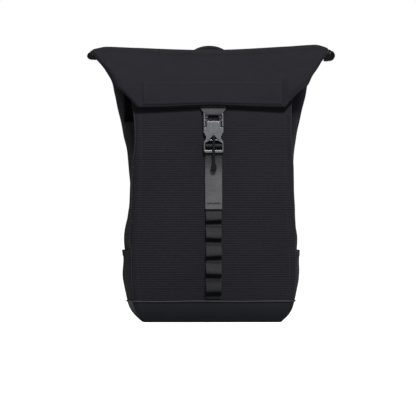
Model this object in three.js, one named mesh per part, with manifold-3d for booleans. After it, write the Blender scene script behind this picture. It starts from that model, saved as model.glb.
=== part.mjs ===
// Rolltop backpack, standing upright and closed. Millimetres, +Z up, the front faces -Y.
// The origin is on the floor, under the middle of the base.
import * as THREE from "three";
import { mergeVertices } from "three/addons/utils/BufferGeometryUtils.js";
import Module from "manifold-3d";

const wasm = await Module();
wasm.setup();

// Driving dimensions of the bag
const foldHeight = 485;
const bodyWidth = 312;
const bodyDepth = 156;
const foldSpan = 412;
const clothWall = 2;
const seamGap = 0.3;
const cornerRadius = 8;
const foldSag = 7;
const foldTilt = 2;
const foldLift = 5;
const foldRound = 3;
const foldSlackHeight = 48;

// Flap: the end of the tube, folded over the top and down in front
const flapDrop = 110;
const lipWidth = 262;
const flapThickness = 10;
const neckThickness = 26;
const flapPanelWidth = 245;
const flapPanelHeight = 40;
const flapPanelHem = 2;

// Skins sewn on the tube
const panelWall = 1.2;
const panelTuck = 14;
const trimHeight = 38;
const trimWall = 1.5;
const trimLedge = 0.9;
const trimLedgeHeight = 3;
const pocketHeight = 127;
const pocketWall = 1.2;
const pocketSlack = 2.6;
const backPanelWidth = 236;
const backPanelBottom = 72;
const backPanelTop = 372;
const backPanelThickness = 9;
const padEdge = 0.35;

// Webbing and buckle on the front. Heights of the buckle's features are below its head.
const strapWidth = 30;
const strapThickness = 1.6;
const strapTailHeight = 198;
const strapHem = 12;
const loopCount = 5;
const loopStandoff = 9;
const chainBottom = 41;
const buckleWidth = 35;
const buckleDrop = 10;
const buckleFrameHeight = 37;
const buckleBase = 3.4;
const buckleRail = 3;
const buckleRailDepth = 4;
const buckleSlotWidth = 18;
const buckleSlotHeight = 9.5;
const buckleBar = 3;
const plateDepth = 3.2;
const plateWidth = 24.5;
const plateTop = -13.5;
const plateShoulder = -23.5;
const legHeight = 12.3;
const legWidth = 7.4;
const legInset = 3;
const ringHeight = 20;
const ringDepth = 5;
const ringCorner = 4;
const ringTopBar = 1.6;
const ringFootBar = 4.7;
const ringBar = 1.8;
const pullLength = 64;
const pullNeck = 4.5;
const pullWidth = 10;
const pullThickness = 1.8;
const pullHang = 0.1;
const tabTopWidth = 45;
const tabBottomWidth = 32;
const tabThickness = 1.3;
const ringOpening = ringHeight - ringTopBar - ringFootBar;
const ringSide = (buckleWidth - strapWidth) / 2 - seamGap;

// Ends of the fold, handle and shoulder straps
const tipLength = 10;
const tipHeight = 17;
const tipDepth = 20;
const tipForward = 2;
const tipRise = -1;
const tipDroop = 2;
const tipInset = 3;
const handleWidth = 78;
const handleRise = 3;
const handleHeight = 74;
const handleBand = 22;
const handleThickness = 3;
const handleLean = 5;
const shoulderWidth = 62;
const shoulderThickness = 12;
const shoulderDrop = 10;
const shoulderEnd = 176;
const shoulderSpread = 92;
const shoulderApart = 52;
const shoulderBow = 34;
const lowerWebWidth = 25;
const lowerWebThickness = 2;
const lowerWebTail = 60;
const adjusterWidth = 34;
const adjusterHeight = 28;
const adjusterDepth = 6;
const adjusterBar = 3;
const anchorFoot = 42;
const anchorHeight = 24;
const anchorWidth = 42;

const lipHeight = foldHeight - flapDrop;
const flapPanelTop = lipHeight + flapPanelHeight;
const buckleTop = lipHeight - buckleDrop;
const handleTop = foldHeight + handleRise;
const handleFoot = handleTop - handleHeight;
const shoulderTop = handleFoot - shoulderDrop;
const halfWidth = bodyWidth / 2;
const halfDepth = bodyDepth / 2;
const halfSpan = foldSpan / 2;

// The tube's sections. rise is a share of the neck's height; front, side and back are half widths at the
// front face, halfway back and at the back face, as shares of the half width; fore and aft are the faces'
// distances from the middle plane, as shares of the half depth; crown is how far a face stands proud in
// its middle, in the same share; pinch is the depth of the fold behind the front corner, as a share of
// the half width.
const tubeSections = [
  { rise: 0.0, front: 0.756, side: 0.765, back: 0.756, fore: -0.82, aft: 0.8, crown: 0.02, pinch: 0 },
  { rise: 0.026, front: 0.835, side: 0.85, back: 0.835, fore: -0.92, aft: 0.89, crown: 0.03, pinch: 0 },
  { rise: 0.052, front: 0.88, side: 0.905, back: 0.88, fore: -0.97, aft: 0.93, crown: 0.04, pinch: 0 },
  { rise: 0.084, front: 0.905, side: 0.935, back: 0.905, fore: -0.99, aft: 0.94, crown: 0.05, pinch: 0 },
  { rise: 0.13, front: 0.925, side: 0.955, back: 0.925, fore: -1.02, aft: 0.95, crown: 0.07, pinch: 0 },
  { rise: 0.185, front: 0.937, side: 0.966, back: 0.937, fore: -1.045, aft: 0.95, crown: 0.09, pinch: 0 },
  { rise: 0.24, front: 0.938, side: 0.957, back: 0.94, fore: -1.055, aft: 0.95, crown: 0.1, pinch: 0 },
  { rise: 0.275, front: 0.935, side: 0.955, back: 0.936, fore: -1.05, aft: 0.95, crown: 0.1, pinch: 0 },
  { rise: 0.345, front: 0.925, side: 0.952, back: 0.93, fore: -1.03, aft: 0.945, crown: 0.09, pinch: 0 },
  { rise: 0.42, front: 0.91, side: 0.922, back: 0.912, fore: -1.0, aft: 0.94, crown: 0.08, pinch: 0 },
  { rise: 0.5, front: 0.9, side: 0.905, back: 0.903, fore: -0.975, aft: 0.935, crown: 0.07, pinch: 0 },
  { rise: 0.575, front: 0.894, side: 0.92, back: 0.908, fore: -0.96, aft: 0.93, crown: 0.06, pinch: 0 },
  { rise: 0.642, front: 0.89, side: 0.938, back: 0.92, fore: -0.94, aft: 0.925, crown: 0.06, pinch: 0.02 },
  { rise: 0.703, front: 0.888, side: 0.968, back: 0.945, fore: -0.915, aft: 0.92, crown: 0.06, pinch: 0.05 },
  { rise: 0.763, front: 0.89, side: 1.003, back: 0.97, fore: -0.87, aft: 0.905, crown: 0.07, pinch: 0.085 },
  { rise: 0.817, front: 0.9, side: 1.035, back: 1.0, fore: -0.785, aft: 0.88, crown: 0.09, pinch: 0.1 },
  { rise: 0.862, front: 0.93, side: 1.062, back: 1.03, fore: -0.65, aft: 0.82, crown: 0.11, pinch: 0.085 },
  { rise: 0.905, front: 0.985, side: 1.095, back: 1.07, fore: -0.48, aft: 0.72, crown: 0.12, pinch: 0.05 },
  { rise: 0.944, front: 1.075, side: 1.172, back: 1.153, fore: -0.285, aft: 0.61, crown: 0.11, pinch: 0.02 },
  { rise: 0.974, front: 1.19, side: 1.245, back: 1.235, fore: -0.12, aft: 0.49, crown: 0.08, pinch: 0 },
  { rise: 1.0, front: 1.28, side: 1.3, back: 1.298, fore: 0.02, aft: 0.36, crown: 0.05, pinch: 0 },
];
// The flap's half width from the fold to the lip: drop is the share of the way down, half the share of
// the half span.
const flapOutline = [
  { drop: 0.0, half: 0.985 },
  { drop: 0.14, half: 0.957 },
  { drop: 0.28, half: 0.91 },
  { drop: 0.42, half: 0.858 },
  { drop: 0.62, half: 0.812 },
  { drop: 0.7, half: 0.767 },
  { drop: 0.82, half: 0.71 },
  { drop: 0.92, half: 0.668 },
  { drop: 1.0, half: 0.636 },
];
const lipShare = flapOutline[flapOutline.length - 1].half;
// Points around one section: steps along the front and back faces, round each corner and along each side.
const faceSteps = 9;
const cornerSteps = 2;
const sideSteps = 6;
const bendSteps = 5;
const sideSkew = 1.35;
const leastRow = 8;
const pinchPlace = 0.17;
const pinchReach = 0.1;
const lensCrown = 0.5;
const thinnestEnd = clothWall + 0.9;

// A smooth reading of one column of a table at any place along its first column.
function readTable(table, key, column, place) {
  let i = 0;
  while (i < table.length - 2 && table[i + 1][key] < place) {
    i += 1;
  }
  const before = table[Math.max(i - 1, 0)];
  const a = table[i];
  const b = table[i + 1];
  const after = table[Math.min(i + 2, table.length - 1)];
  const span = b[key] - a[key];
  const t = THREE.MathUtils.clamp((place - a[key]) / span, 0, 1);
  const slopeA = ((b[column] - before[column]) / (b[key] - before[key])) * span;
  const slopeB = ((after[column] - a[column]) / (after[key] - a[key])) * span;
  const t2 = t * t;
  const t3 = t2 * t;
  return (
    (2 * t3 - 3 * t2 + 1) * a[column] +
    (t3 - 2 * t2 + t) * slopeA +
    (-2 * t3 + 3 * t2) * b[column] +
    (t3 - t2) * slopeB
  );
}

// The fold: the tube turns about a crease in front of its neck, from level to square to the sloping front.
const flapGap = panelWall + tabThickness + 4 * seamGap;
const creaseRadius = flapGap / 2;
const flapRadius = creaseRadius + flapThickness;
const neckRadius = creaseRadius + neckThickness;
const neckRun = tubeSections[tubeSections.length - 1];
const neckLean = Math.atan2(
  (neckRun.fore - tubeSections[tubeSections.length - 4].fore) * halfDepth,
  (1 - tubeSections[tubeSections.length - 4].rise) * foldHeight,
);
const foldTurn = Math.PI - neckLean;
const topShare = Math.PI / 2 / foldTurn;
const topRadius = THREE.MathUtils.lerp(neckRadius, flapRadius, topShare);
const neckHeight = foldHeight - topRadius - creaseRadius * Math.sin(neckLean);

function tube(column, z) {
  return readTable(tubeSections, "rise", column, z / neckHeight);
}
function foreY(z) {
  return tube("fore", z) * halfDepth;
}
function aftY(z) {
  return tube("aft", z) * halfDepth;
}

// How the closed top hangs: it sags in the middle and stands a little higher at one side.
function settled(point) {
  const reach = (point.z - neckHeight + foldSlackHeight) / foldSlackHeight;
  const share = THREE.MathUtils.smoothstep(reach, 0, 1);
  const across = THREE.MathUtils.clamp(point.x / halfSpan, -1, 1);
  const sag = -foldSag * Math.cos((across * Math.PI) / 2) ** 2 + foldTilt * across;
  const lift = foldLift * across * across;
  return new THREE.Vector3(point.x, point.y, point.z + share * (sag + lift));
}

// Near the top the widths follow the fold's span instead of the body's width.
const neckSpread = tubeSections[tubeSections.length - 1].side + 0.02;
function breadth(z) {
  const share = THREE.MathUtils.smoothstep(z / neckHeight, 0.82, 1);
  return THREE.MathUtils.lerp(halfWidth, halfSpan / neckSpread, share);
}

// A section has a foremost and a rearmost line point (y, z) and its half widths.
function tubeStation(z) {
  return {
    fore: new THREE.Vector2(foreY(z), z),
    aft: new THREE.Vector2(aftY(z), z),
    front: tube("front", z) * breadth(z),
    side: tube("side", z) * breadth(z),
    back: tube("back", z) * breadth(z),
    crown: tube("crown", z) * halfDepth,
    pinch: tube("pinch", z) * halfWidth,
  };
}

const neckPoint = new THREE.Vector2(foreY(neckHeight), neckHeight);
const leanOut = new THREE.Vector2(-Math.cos(neckLean), Math.sin(neckLean));
const crease = neckPoint.clone().addScaledVector(leanOut, creaseRadius);

function bendStation(share) {
  const angle = foldTurn * share;
  const along = new THREE.Vector2(Math.cos(angle), Math.sin(angle));
  const radius = THREE.MathUtils.lerp(neckRadius, flapRadius, share);
  const half = halfSpan * THREE.MathUtils.lerp(0.985, 1, Math.sin(Math.PI * share));
  return {
    fore: crease.clone().addScaledVector(along, creaseRadius),
    aft: crease.clone().addScaledVector(along, radius),
    front: half - foldRound,
    side: half,
    back: half - foldRound,
    crown: ((radius - creaseRadius) / 2) * lensCrown,
    pinch: 0,
  };
}

// The outward normal of the tube's front line at a height.
function frontNormal(z) {
  const step = 2;
  const run = new THREE.Vector2(foreY(z + step) - foreY(z - step), 2 * step).normalize();
  return new THREE.Vector2(-run.y, run.x);
}

function flapStation(drop) {
  const z = THREE.MathUtils.lerp(neckHeight, lipHeight, drop);
  const normal = drop === 0 ? leanOut : frontNormal(z);
  const base = new THREE.Vector2(foreY(z), z);
  const taper = THREE.MathUtils.lerp(
    halfSpan,
    lipWidth / 2 / lipShare,
    THREE.MathUtils.smoothstep(drop, 0.4, 1),
  );
  const half = readTable(flapOutline, "drop", "half", drop) * taper;
  return {
    fore: base.clone().addScaledVector(normal, flapGap),
    aft: base.clone().addScaledVector(normal, flapGap + flapThickness),
    front: half - 1.5,
    side: half,
    back: half - 1.5,
    crown: (flapThickness / 2) * lensCrown,
    pinch: 0,
  };
}

// One closed ring of points around a section, moved outward by grow.
function ring(station, grow) {
  const across = station.aft.clone().sub(station.fore);
  const half = across.length() / 2;
  const middle = station.fore.clone().add(station.aft).multiplyScalar(0.5);
  across.normalize();
  const crown = Math.min(station.crown, half - thinnestEnd);
  const end = half - crown + grow;
  const radius = Math.min(cornerRadius + grow, end * 0.9);
  const flat = [];
  const front = station.front + grow;
  const back = station.back + grow;
  const bulge = station.side - (station.front + station.back) / 2;
  for (let i = 0; i <= faceSteps; i += 1) {
    const t = -1 + (2 * i) / faceSteps;
    flat.push([t * (front - radius), -half - grow + crown * t * t]);
  }
  for (let i = 1; i < cornerSteps; i += 1) {
    const turn = (Math.PI / 2) * (i / cornerSteps);
    flat.push([front - radius + radius * Math.sin(turn), -end + radius - radius * Math.cos(turn)]);
  }
  for (let i = 0; i <= sideSteps; i += 1) {
    const t = i / sideSteps;
    const swell = Math.sin(Math.PI * t ** sideSkew);
    const fold = station.pinch * Math.exp(-(((t - pinchPlace) / pinchReach) ** 2));
    const x = THREE.MathUtils.lerp(front, back, t) + bulge * swell - fold;
    flat.push([x, THREE.MathUtils.lerp(-end + radius, end - radius, t)]);
  }
  for (let i = 1; i < cornerSteps; i += 1) {
    const turn = (Math.PI / 2) * (i / cornerSteps);
    flat.push([back - radius + radius * Math.cos(turn), end - radius + radius * Math.sin(turn)]);
  }
  for (let i = 0; i <= faceSteps; i += 1) {
    const t = 1 - (2 * i) / faceSteps;
    flat.push([t * (back - radius), half + grow - crown * t * t]);
  }
  const mirrored = flat.slice(faceSteps + 1, flat.length - faceSteps - 1).reverse();
  for (const [x, q] of mirrored) {
    flat.push([-x, q]);
  }
  return flat.map(([x, q]) =>
    settled(new THREE.Vector3(x, middle.x + q * across.x, middle.y + q * across.y)),
  );
}
const frontLast = faceSteps;
const sideFirst = frontLast + cornerSteps;
const backFirst = sideFirst + sideSteps + cornerSteps;
const backLast = backFirst + faceSteps;

// Points and triangles of one solid while it is put together.
class Surface {
  constructor() {
    this.points = [];
    this.faces = [];
  }
  add(point) {
    this.points.push(point.x, point.y, point.z);
    return this.points.length / 3 - 1;
  }
  row(points) {
    return points.map((point) => this.add(point));
  }
  quad(a, b, c, d) {
    this.faces.push(a, b, c, a, c, d);
  }
  // Joins two rows that face outward, or with inward set, two rows that face in, cut along the same
  // diagonals.
  strip(low, high, closed, inward = false) {
    const count = closed ? low.length : low.length - 1;
    for (let j = 0; j < count; j += 1) {
      const k = (j + 1) % low.length;
      if (inward) {
        this.quad(high[k], low[k], low[j], high[j]);
      } else {
        this.quad(low[j], low[k], high[k], high[j]);
      }
    }
  }
  // Joins rows of closed outlines into one body and closes its two ends.
  closed(rows) {
    for (let i = 0; i < rows.length - 1; i += 1) {
      this.strip(rows[i], rows[i + 1], true);
    }
    const first = rows[0];
    const last = rows[rows.length - 1];
    for (let j = 1; j < first.length - 1; j += 1) {
      this.faces.push(first[0], first[j + 1], first[j]);
      this.faces.push(last[0], last[j], last[j + 1]);
    }
    return this.geometry();
  }
  geometry() {
    const built = new THREE.BufferGeometry();
    built.setAttribute("position", new THREE.Float32BufferAttribute(this.points, 3));
    built.setIndex(this.faces);
    return built;
  }
}

// Closes a ring with bands that run from its front face to its back face.
function capRing(surface, ids, upward) {
  const left = ids.slice(backLast + 1);
  const right = ids.slice(frontLast + 1, backFirst).reverse();
  for (let j = 0; j < faceSteps; j += 1) {
    const quad = [ids[j], ids[j + 1], ids[backLast - j - 1], ids[backLast - j]];
    if (!upward) {
      quad.reverse();
    }
    surface.quad(...quad);
  }
  const fans = [
    [ids[backLast], ...left, ids[0]],
    [ids[backFirst], ...right, ids[frontLast]].reverse(),
  ];
  for (const fan of fans) {
    for (let j = 1; j < fan.length - 1; j += 1) {
      surface.faces.push(...(upward ? [fan[0], fan[j], fan[j + 1]] : [fan[0], fan[j + 1], fan[j]]));
    }
  }
}

// A cup or sleeve: rings outside and inside, joined at the mouth and closed at the base.
function vessel(outerRings, innerRings) {
  const surface = new Surface();
  const outer = outerRings.map((points) => surface.row(points));
  const inner = innerRings.map((points) => surface.row(points));
  for (let i = 0; i < outer.length - 1; i += 1) {
    surface.strip(outer[i], outer[i + 1], true);
  }
  for (let i = 0; i < inner.length - 1; i += 1) {
    surface.strip(inner[i], inner[i + 1], true, true);
  }
  surface.strip(outer[outer.length - 1], inner[inner.length - 1], true);
  capRing(surface, outer[0], false);
  capRing(surface, inner[0], true);
  return surface.geometry();
}

// A sheet of cloth: an outer and an inner grid of rows, joined round the edge.
function sheet(outerRows, innerRows) {
  const surface = new Surface();
  const outer = outerRows.map((points) => surface.row(points));
  const inner = innerRows.map((points) => surface.row(points));
  const last = outer.length - 1;
  for (let i = 0; i < last; i += 1) {
    surface.strip(outer[i], outer[i + 1], false);
    surface.strip(inner[i], inner[i + 1], false, true);
    const end = outer[i].length - 1;
    surface.quad(inner[i][0], outer[i][0], outer[i + 1][0], inner[i + 1][0]);
    surface.quad(outer[i][end], inner[i][end], inner[i + 1][end], outer[i + 1][end]);
  }
  surface.strip(inner[0], outer[0], false);
  surface.strip(outer[last], inner[last], false);
  return surface.geometry();
}

// Heights of the tube's sections, with one at each edge of what is sewn on it.
const baseHeight = trimWall + seamGap;
const panelTop = lipHeight + panelTuck;
const panelBottom = trimHeight + seamGap;
const sewnHeights = [trimHeight, pocketHeight, lipHeight, panelTop, backPanelBottom, backPanelTop];
function tubeHeights() {
  const heights = [baseHeight, ...sewnHeights];
  for (const section of tubeSections) {
    const z = section.rise * neckHeight;
    if (heights.every((other) => Math.abs(other - z) > leastRow)) {
      heights.push(z);
    }
  }
  return heights.sort((a, b) => a - b);
}
const heights = tubeHeights();
const heightsBetween = (low, high) => [low, ...heights.filter((z) => z > low + 1 && z < high - 1), high];

function flapDrops() {
  return flapOutline.map((row) => row.drop);
}

function makeBody() {
  const stations = heights.map((z) => tubeStation(z));
  for (let i = 1; i < bendSteps; i += 1) {
    stations.push(bendStation(i / bendSteps));
  }
  for (const drop of flapDrops()) {
    stations.push(flapStation(drop));
  }
  const inner = stations.map((station) => ring(station, -clothWall));
  inner[0] = ring(tubeStation(baseHeight + clothWall), -clothWall);
  return vessel(
    stations.map((station) => ring(station, 0)),
    inner,
  );
}

// Part of a ring, from one column to another.
const arcOf = (points, first, last) => points.slice(first, last + 1);

function makeFrontPanel() {
  const rows = heightsBetween(panelBottom, panelTop);
  const rowAt = (z, grow) => {
    const points = ring(tubeStation(z), grow);
    return [points[points.length - 1], ...points.slice(0, frontLast + 2)];
  };
  return sheet(
    rows.map((z) => rowAt(z, seamGap + panelWall)),
    rows.map((z) => rowAt(z, seamGap)),
  );
}

function makeBackPanel() {
  const rows = heightsBetween(backPanelBottom, backPanelTop);
  const half = backPanelWidth / 2;
  const rowAt = (z, depth) => {
    const station = tubeStation(z);
    const rise = (z - backPanelBottom) / (backPanelTop - backPanelBottom);
    const points = [];
    for (let i = 0; i <= faceSteps - 1; i += 1) {
      const t = 1 - (2 * i) / (faceSteps - 1);
      const x = t * half;
      const slope = station.crown * (x / (station.back - cornerRadius)) ** 2;
      const sideEdge = Math.min(1, 4 * (1 - Math.abs(t)) + padEdge);
      const endEdge = Math.min(1, 9 * Math.min(rise, 1 - rise) + padEdge);
      points.push(new THREE.Vector3(x, station.aft.x - slope + seamGap + depth * sideEdge * endEdge, z));
    }
    return points;
  };
  return sheet(
    rows.map((z) => rowAt(z, backPanelThickness)),
    rows.map((z) => rowAt(z, 0)),
  );
}

function makeTrim() {
  const ledgeFoot = trimHeight - trimLedgeHeight;
  const rows = heightsBetween(baseHeight, ledgeFoot).map((z) => ({ z, ledge: 0 }));
  rows.push({ z: ledgeFoot + 0.4, ledge: trimLedge });
  rows.push({ z: trimHeight, ledge: trimLedge });
  const outer = rows.map((row) => ring(tubeStation(row.z), seamGap + trimWall + row.ledge));
  const inner = rows.map((row) => ring(tubeStation(row.z), seamGap));
  return vessel(
    [ring(tubeStation(0), seamGap + trimWall), ...outer],
    [ring(tubeStation(trimWall), seamGap), ...inner],
  );
}

function makePocket(side) {
  const rows = heightsBetween(trimHeight + seamGap, pocketHeight);
  const first = side > 0 ? sideFirst - 1 : backLast + 1;
  const last = first + sideSteps + 2 * (cornerSteps - 1);
  const rowAt = (z, wall) => {
    const rise = (z - trimHeight) / (pocketHeight - trimHeight);
    const points = arcOf(ring(tubeStation(z), seamGap + wall), first, last);
    points.forEach((point, i) => {
      const belly = Math.sin((Math.PI * i) / (points.length - 1)) * THREE.MathUtils.smoothstep(rise, 0, 1);
      point.x += side * belly * pocketSlack;
    });
    return points;
  };
  return sheet(
    rows.map((z) => rowAt(z, pocketWall)),
    rows.map((z) => rowAt(z, 0)),
  );
}

function makeFlapPanel() {
  const lowDrop = 1 - flapPanelHem / (neckHeight - lipHeight);
  const highDrop = (neckHeight - flapPanelTop) / (neckHeight - lipHeight);
  const drops = [
    highDrop,
    ...flapDrops().filter((drop) => drop > highDrop + 0.03 && drop < lowDrop - 0.03),
    lowDrop,
  ];
  const steps = 10;
  const rowAt = (drop, depth) => {
    const station = flapStation(drop);
    const across = station.aft.clone().sub(station.fore).normalize();
    const points = [];
    for (let i = 0; i <= steps; i += 1) {
      const x = flapPanelWidth * (i / steps - 0.5);
      const slope = station.crown * (x / (station.back - station.crown)) ** 2;
      const q = 2 * seamGap + depth - slope;
      const y = station.aft.x + q * across.x;
      points.push(settled(new THREE.Vector3(x, y, station.aft.y + q * across.y)));
    }
    return points;
  };
  return sheet(
    drops.map((drop) => rowAt(drop, panelWall)).reverse(),
    drops.map((drop) => rowAt(drop, 0)).reverse(),
  );
}

// The face that the webbing and the buckle lie on: the outside of the front panel, at the middle.
function panelFace(z) {
  return foreY(z) - seamGap - panelWall;
}
// A point at a height, a given distance in front of the front panel.
const overPanel = (z, out) => new THREE.Vector2(panelFace(z) - out, z);

// The back face of the tube, away from the middle.
function backFace(x, z) {
  const station = tubeStation(z);
  return station.aft.x - station.crown * (x / (station.back - cornerRadius)) ** 2;
}

// A ribbon: a line in the (y, z) plane, given width across X and thickness to the left and right of its run.
// The three functions read a point's height and its place in the line.
function ribbon(line, widthAt, leftAt, rightAt) {
  const surface = new Surface();
  const rows = line.map((point, i) => {
    const before = line[Math.max(i - 1, 0)];
    const after = line[Math.min(i + 1, line.length - 1)];
    const run = after.clone().sub(before).normalize();
    const normal = new THREE.Vector2(-run.y, run.x);
    const half = widthAt(point.y, i) / 2;
    const left = point.clone().addScaledVector(normal, leftAt(point.y, i));
    const right = point.clone().addScaledVector(normal, -rightAt(point.y, i));
    return surface.row([
      new THREE.Vector3(-half, left.x, left.y),
      new THREE.Vector3(half, left.x, left.y),
      new THREE.Vector3(half, right.x, right.y),
      new THREE.Vector3(-half, right.x, right.y),
    ]);
  });
  return surface.closed(rows);
}
function evenRibbon(line, width, thickness) {
  const half = () => thickness / 2;
  return ribbon(line, () => width, half, half);
}

// An outline in the (x, z) plane, extruded towards the front from a given depth.
function towardFront(shape, out, thickness) {
  const built = new THREE.ExtrudeGeometry(shape, { depth: thickness, bevelEnabled: false, curveSegments: 3 });
  const turn = new THREE.Matrix4().makeBasis(
    new THREE.Vector3(1, 0, 0),
    new THREE.Vector3(0, 0, 1),
    new THREE.Vector3(0, -1, 0),
  );
  return built.applyMatrix4(turn.setPosition(0, -out, 0));
}

function roundedBox(x0, z0, x1, z1, radius) {
  const shape = new THREE.Shape();
  shape.moveTo(x0 + radius, z0);
  shape.lineTo(x1 - radius, z0);
  shape.absarc(x1 - radius, z0 + radius, radius, -Math.PI / 2, 0);
  shape.lineTo(x1, z1 - radius);
  shape.absarc(x1 - radius, z1 - radius, radius, 0, Math.PI / 2);
  shape.lineTo(x0 + radius, z1);
  shape.absarc(x0 + radius, z1 - radius, radius, Math.PI / 2, Math.PI);
  shape.lineTo(x0, z0 + radius);
  shape.absarc(x0 + radius, z0 + radius, radius, Math.PI, 1.5 * Math.PI);
  return shape;
}

function toSolid(geometry) {
  const bare = geometry.clone();
  bare.deleteAttribute("normal");
  bare.deleteAttribute("uv");
  const merged = mergeVertices(bare, 1e-4);
  return new wasm.Manifold(
    new wasm.Mesh({
      numProp: 3,
      vertProperties: merged.attributes.position.array,
      triVerts: new Uint32Array(merged.index.array),
    }),
  );
}
function toGeometry(solid) {
  const mesh = solid.getMesh();
  const built = new THREE.BufferGeometry();
  built.setAttribute("position", new THREE.BufferAttribute(mesh.vertProperties, 3));
  built.setIndex(new THREE.BufferAttribute(mesh.triVerts, 1));
  return built;
}
function joined(geometries) {
  return toGeometry(geometries.map((each) => toSolid(each)).reduce((sum, each) => sum.add(each)));
}

// The buckle lies along the front panel. Its own frame starts at its head: up is along the panel, out is
// off it.
const buckleLength = buckleFrameHeight + legHeight + ringHeight;
const headPoint = overPanel(buckleTop, 0);
const footPoint = overPanel(buckleTop - buckleLength, 0);
const buckleRun = headPoint.clone().sub(footPoint).normalize();
const buckleOut = new THREE.Vector2(-buckleRun.y, buckleRun.x);
const panelBulge = [0.2, 0.35, 0.5, 0.65, 0.8]
  .map((share) => overPanel(buckleTop - buckleLength * share, 0).sub(footPoint).dot(buckleOut))
  .reduce((most, each) => Math.max(most, each), 0);
const frameBack = Math.max(panelBulge + seamGap + tabThickness / 2, tabThickness + 2 * seamGap);
const plateBack = frameBack + buckleBase + seamGap;
const ringTop = -buckleFrameHeight - legHeight;
const ringFoot = ringTop - ringHeight;
const strapStack = 2 * (strapThickness + seamGap) + seamGap;
const ringBack = Math.max(strapStack, plateBack + plateDepth - ringDepth);
const barUp = ringTop - ringTopBar - ringOpening * 0.42;
const barOut = ringBack + ringDepth / 2;
const strapTurn = ringBar / 2 + 2 * seamGap + strapThickness / 2;
const strapFace = barOut + strapTurn + strapThickness / 2;
const buckleFace = Math.max(plateBack + plateDepth, ringBack + ringDepth, strapFace);
const fromBuckle = (up, out) =>
  headPoint.clone().addScaledVector(buckleRun, up).addScaledVector(buckleOut, out);

function makeBuckleFrame() {
  const half = buckleWidth / 2;
  const outline = roundedBox(-half, -buckleFrameHeight, half, 0, 2);
  const slotHalf = buckleSlotWidth / 2;
  outline.holes.push(roundedBox(-slotHalf, -buckleBar - buckleSlotHeight, slotHalf, -buckleBar, 1));
  const parts = [towardFront(outline, frameBack, buckleBase)];
  for (const side of [-1, 1]) {
    const ends = [side * half, side * (half - buckleRail)].sort((a, b) => a - b);
    const rail = roundedBox(ends[0], plateShoulder + seamGap, ends[1], 0, 1);
    parts.push(towardFront(rail, frameBack, buckleBase + buckleRailDepth));
  }
  return joined(parts);
}

function makeBucklePlate() {
  const half = buckleWidth / 2;
  const neck = plateWidth / 2;
  const foot = -buckleFrameHeight;
  const legOuter = half - legInset;
  const legInner = legOuter - legWidth;
  const legFoot = ringTop - ringTopBar / 2;
  const outline = new THREE.Shape();
  outline.moveTo(-neck, plateTop);
  outline.lineTo(-neck, plateShoulder);
  outline.lineTo(-half, plateShoulder);
  outline.lineTo(-half, foot + legInset);
  outline.lineTo(-legOuter, foot);
  outline.lineTo(-legOuter, legFoot);
  outline.lineTo(-legInner, legFoot);
  outline.lineTo(0, foot);
  outline.lineTo(legInner, legFoot);
  outline.lineTo(legOuter, legFoot);
  outline.lineTo(legOuter, foot);
  outline.lineTo(half, foot + legInset);
  outline.lineTo(half, plateShoulder);
  outline.lineTo(neck, plateShoulder);
  outline.lineTo(neck, plateTop);
  const frame = roundedBox(-half, ringFoot, half, ringTop, ringCorner);
  const innerHalf = half - ringSide;
  const openingTop = ringTop - ringTopBar;
  frame.holes.push(roundedBox(-innerHalf, openingTop - ringOpening, innerHalf, openingTop, 1.5));
  const barHalf = ringBar / 2;
  const bar = roundedBox(-innerHalf - 1, barUp - barHalf, innerHalf + 1, barUp + barHalf, ringBar * 0.3);
  return joined([
    towardFront(outline, plateBack, plateDepth),
    towardFront(frame, ringBack, ringDepth),
    towardFront(bar, ringBack + (ringDepth - ringBar) / 2, ringBar),
  ]);
}

function makeBucklePull() {
  const top = -buckleFrameHeight - 2;
  const line = [];
  const steps = 8;
  const cover = buckleFace + seamGap + pullThickness / 2;
  const foot = fromBuckle(top - pullLength, 0).y;
  for (let i = 0; i <= steps; i += 1) {
    const share = (i / steps) ** 0.7;
    const up = top - pullLength * (1 - share);
    const hang = Math.max(0, ringFoot - up);
    line.push(fromBuckle(up, cover - hang * pullHang));
  }
  const tip = pullWidth / 2;
  const widthAt = (z) => {
    const rise = z - foot;
    const round = rise < tip ? Math.sqrt(Math.max(tip * tip - (tip - rise) ** 2, 0.3)) : tip;
    const taper = THREE.MathUtils.smoothstep(rise, pullLength * 0.22, pullLength * 0.42);
    return 2 * THREE.MathUtils.lerp(round, pullNeck / 2, taper);
  };
  const half = () => pullThickness / 2;
  return ribbon(line, widthAt, half, half);
}

function makeBuckleTab() {
  const tongue = buckleBar + buckleSlotHeight * 0.7;
  const levels = [
    buckleTop - tongue,
    buckleTop - buckleBar,
    buckleTop - buckleBar + 1,
    (buckleTop + lipHeight) / 2,
    lipHeight,
    panelTop - seamGap * 4,
  ];
  const line = levels.map((z) => overPanel(z, seamGap + tabThickness / 2));
  const widthAt = (z) => {
    if (z < buckleTop - buckleBar + 0.5) {
      return buckleSlotWidth - 4 * seamGap;
    }
    const rise = THREE.MathUtils.clamp((z - buckleTop) / (lipHeight - buckleTop), 0, 1);
    return THREE.MathUtils.lerp(tabBottomWidth, tabTopWidth, rise);
  };
  const half = () => tabThickness / 2;
  return ribbon(line, widthAt, half, half);
}

// Points of a half turn round a bar, from behind it over its top to its front.
function overBar(place, barAt, outAt, radius, last) {
  const points = [];
  const steps = 5;
  for (let i = 0; i <= steps; i += 1) {
    const turn = (last * i) / steps;
    points.push(place(barAt + radius * Math.sin(turn), outAt - radius * Math.cos(turn)));
  }
  return points;
}

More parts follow.
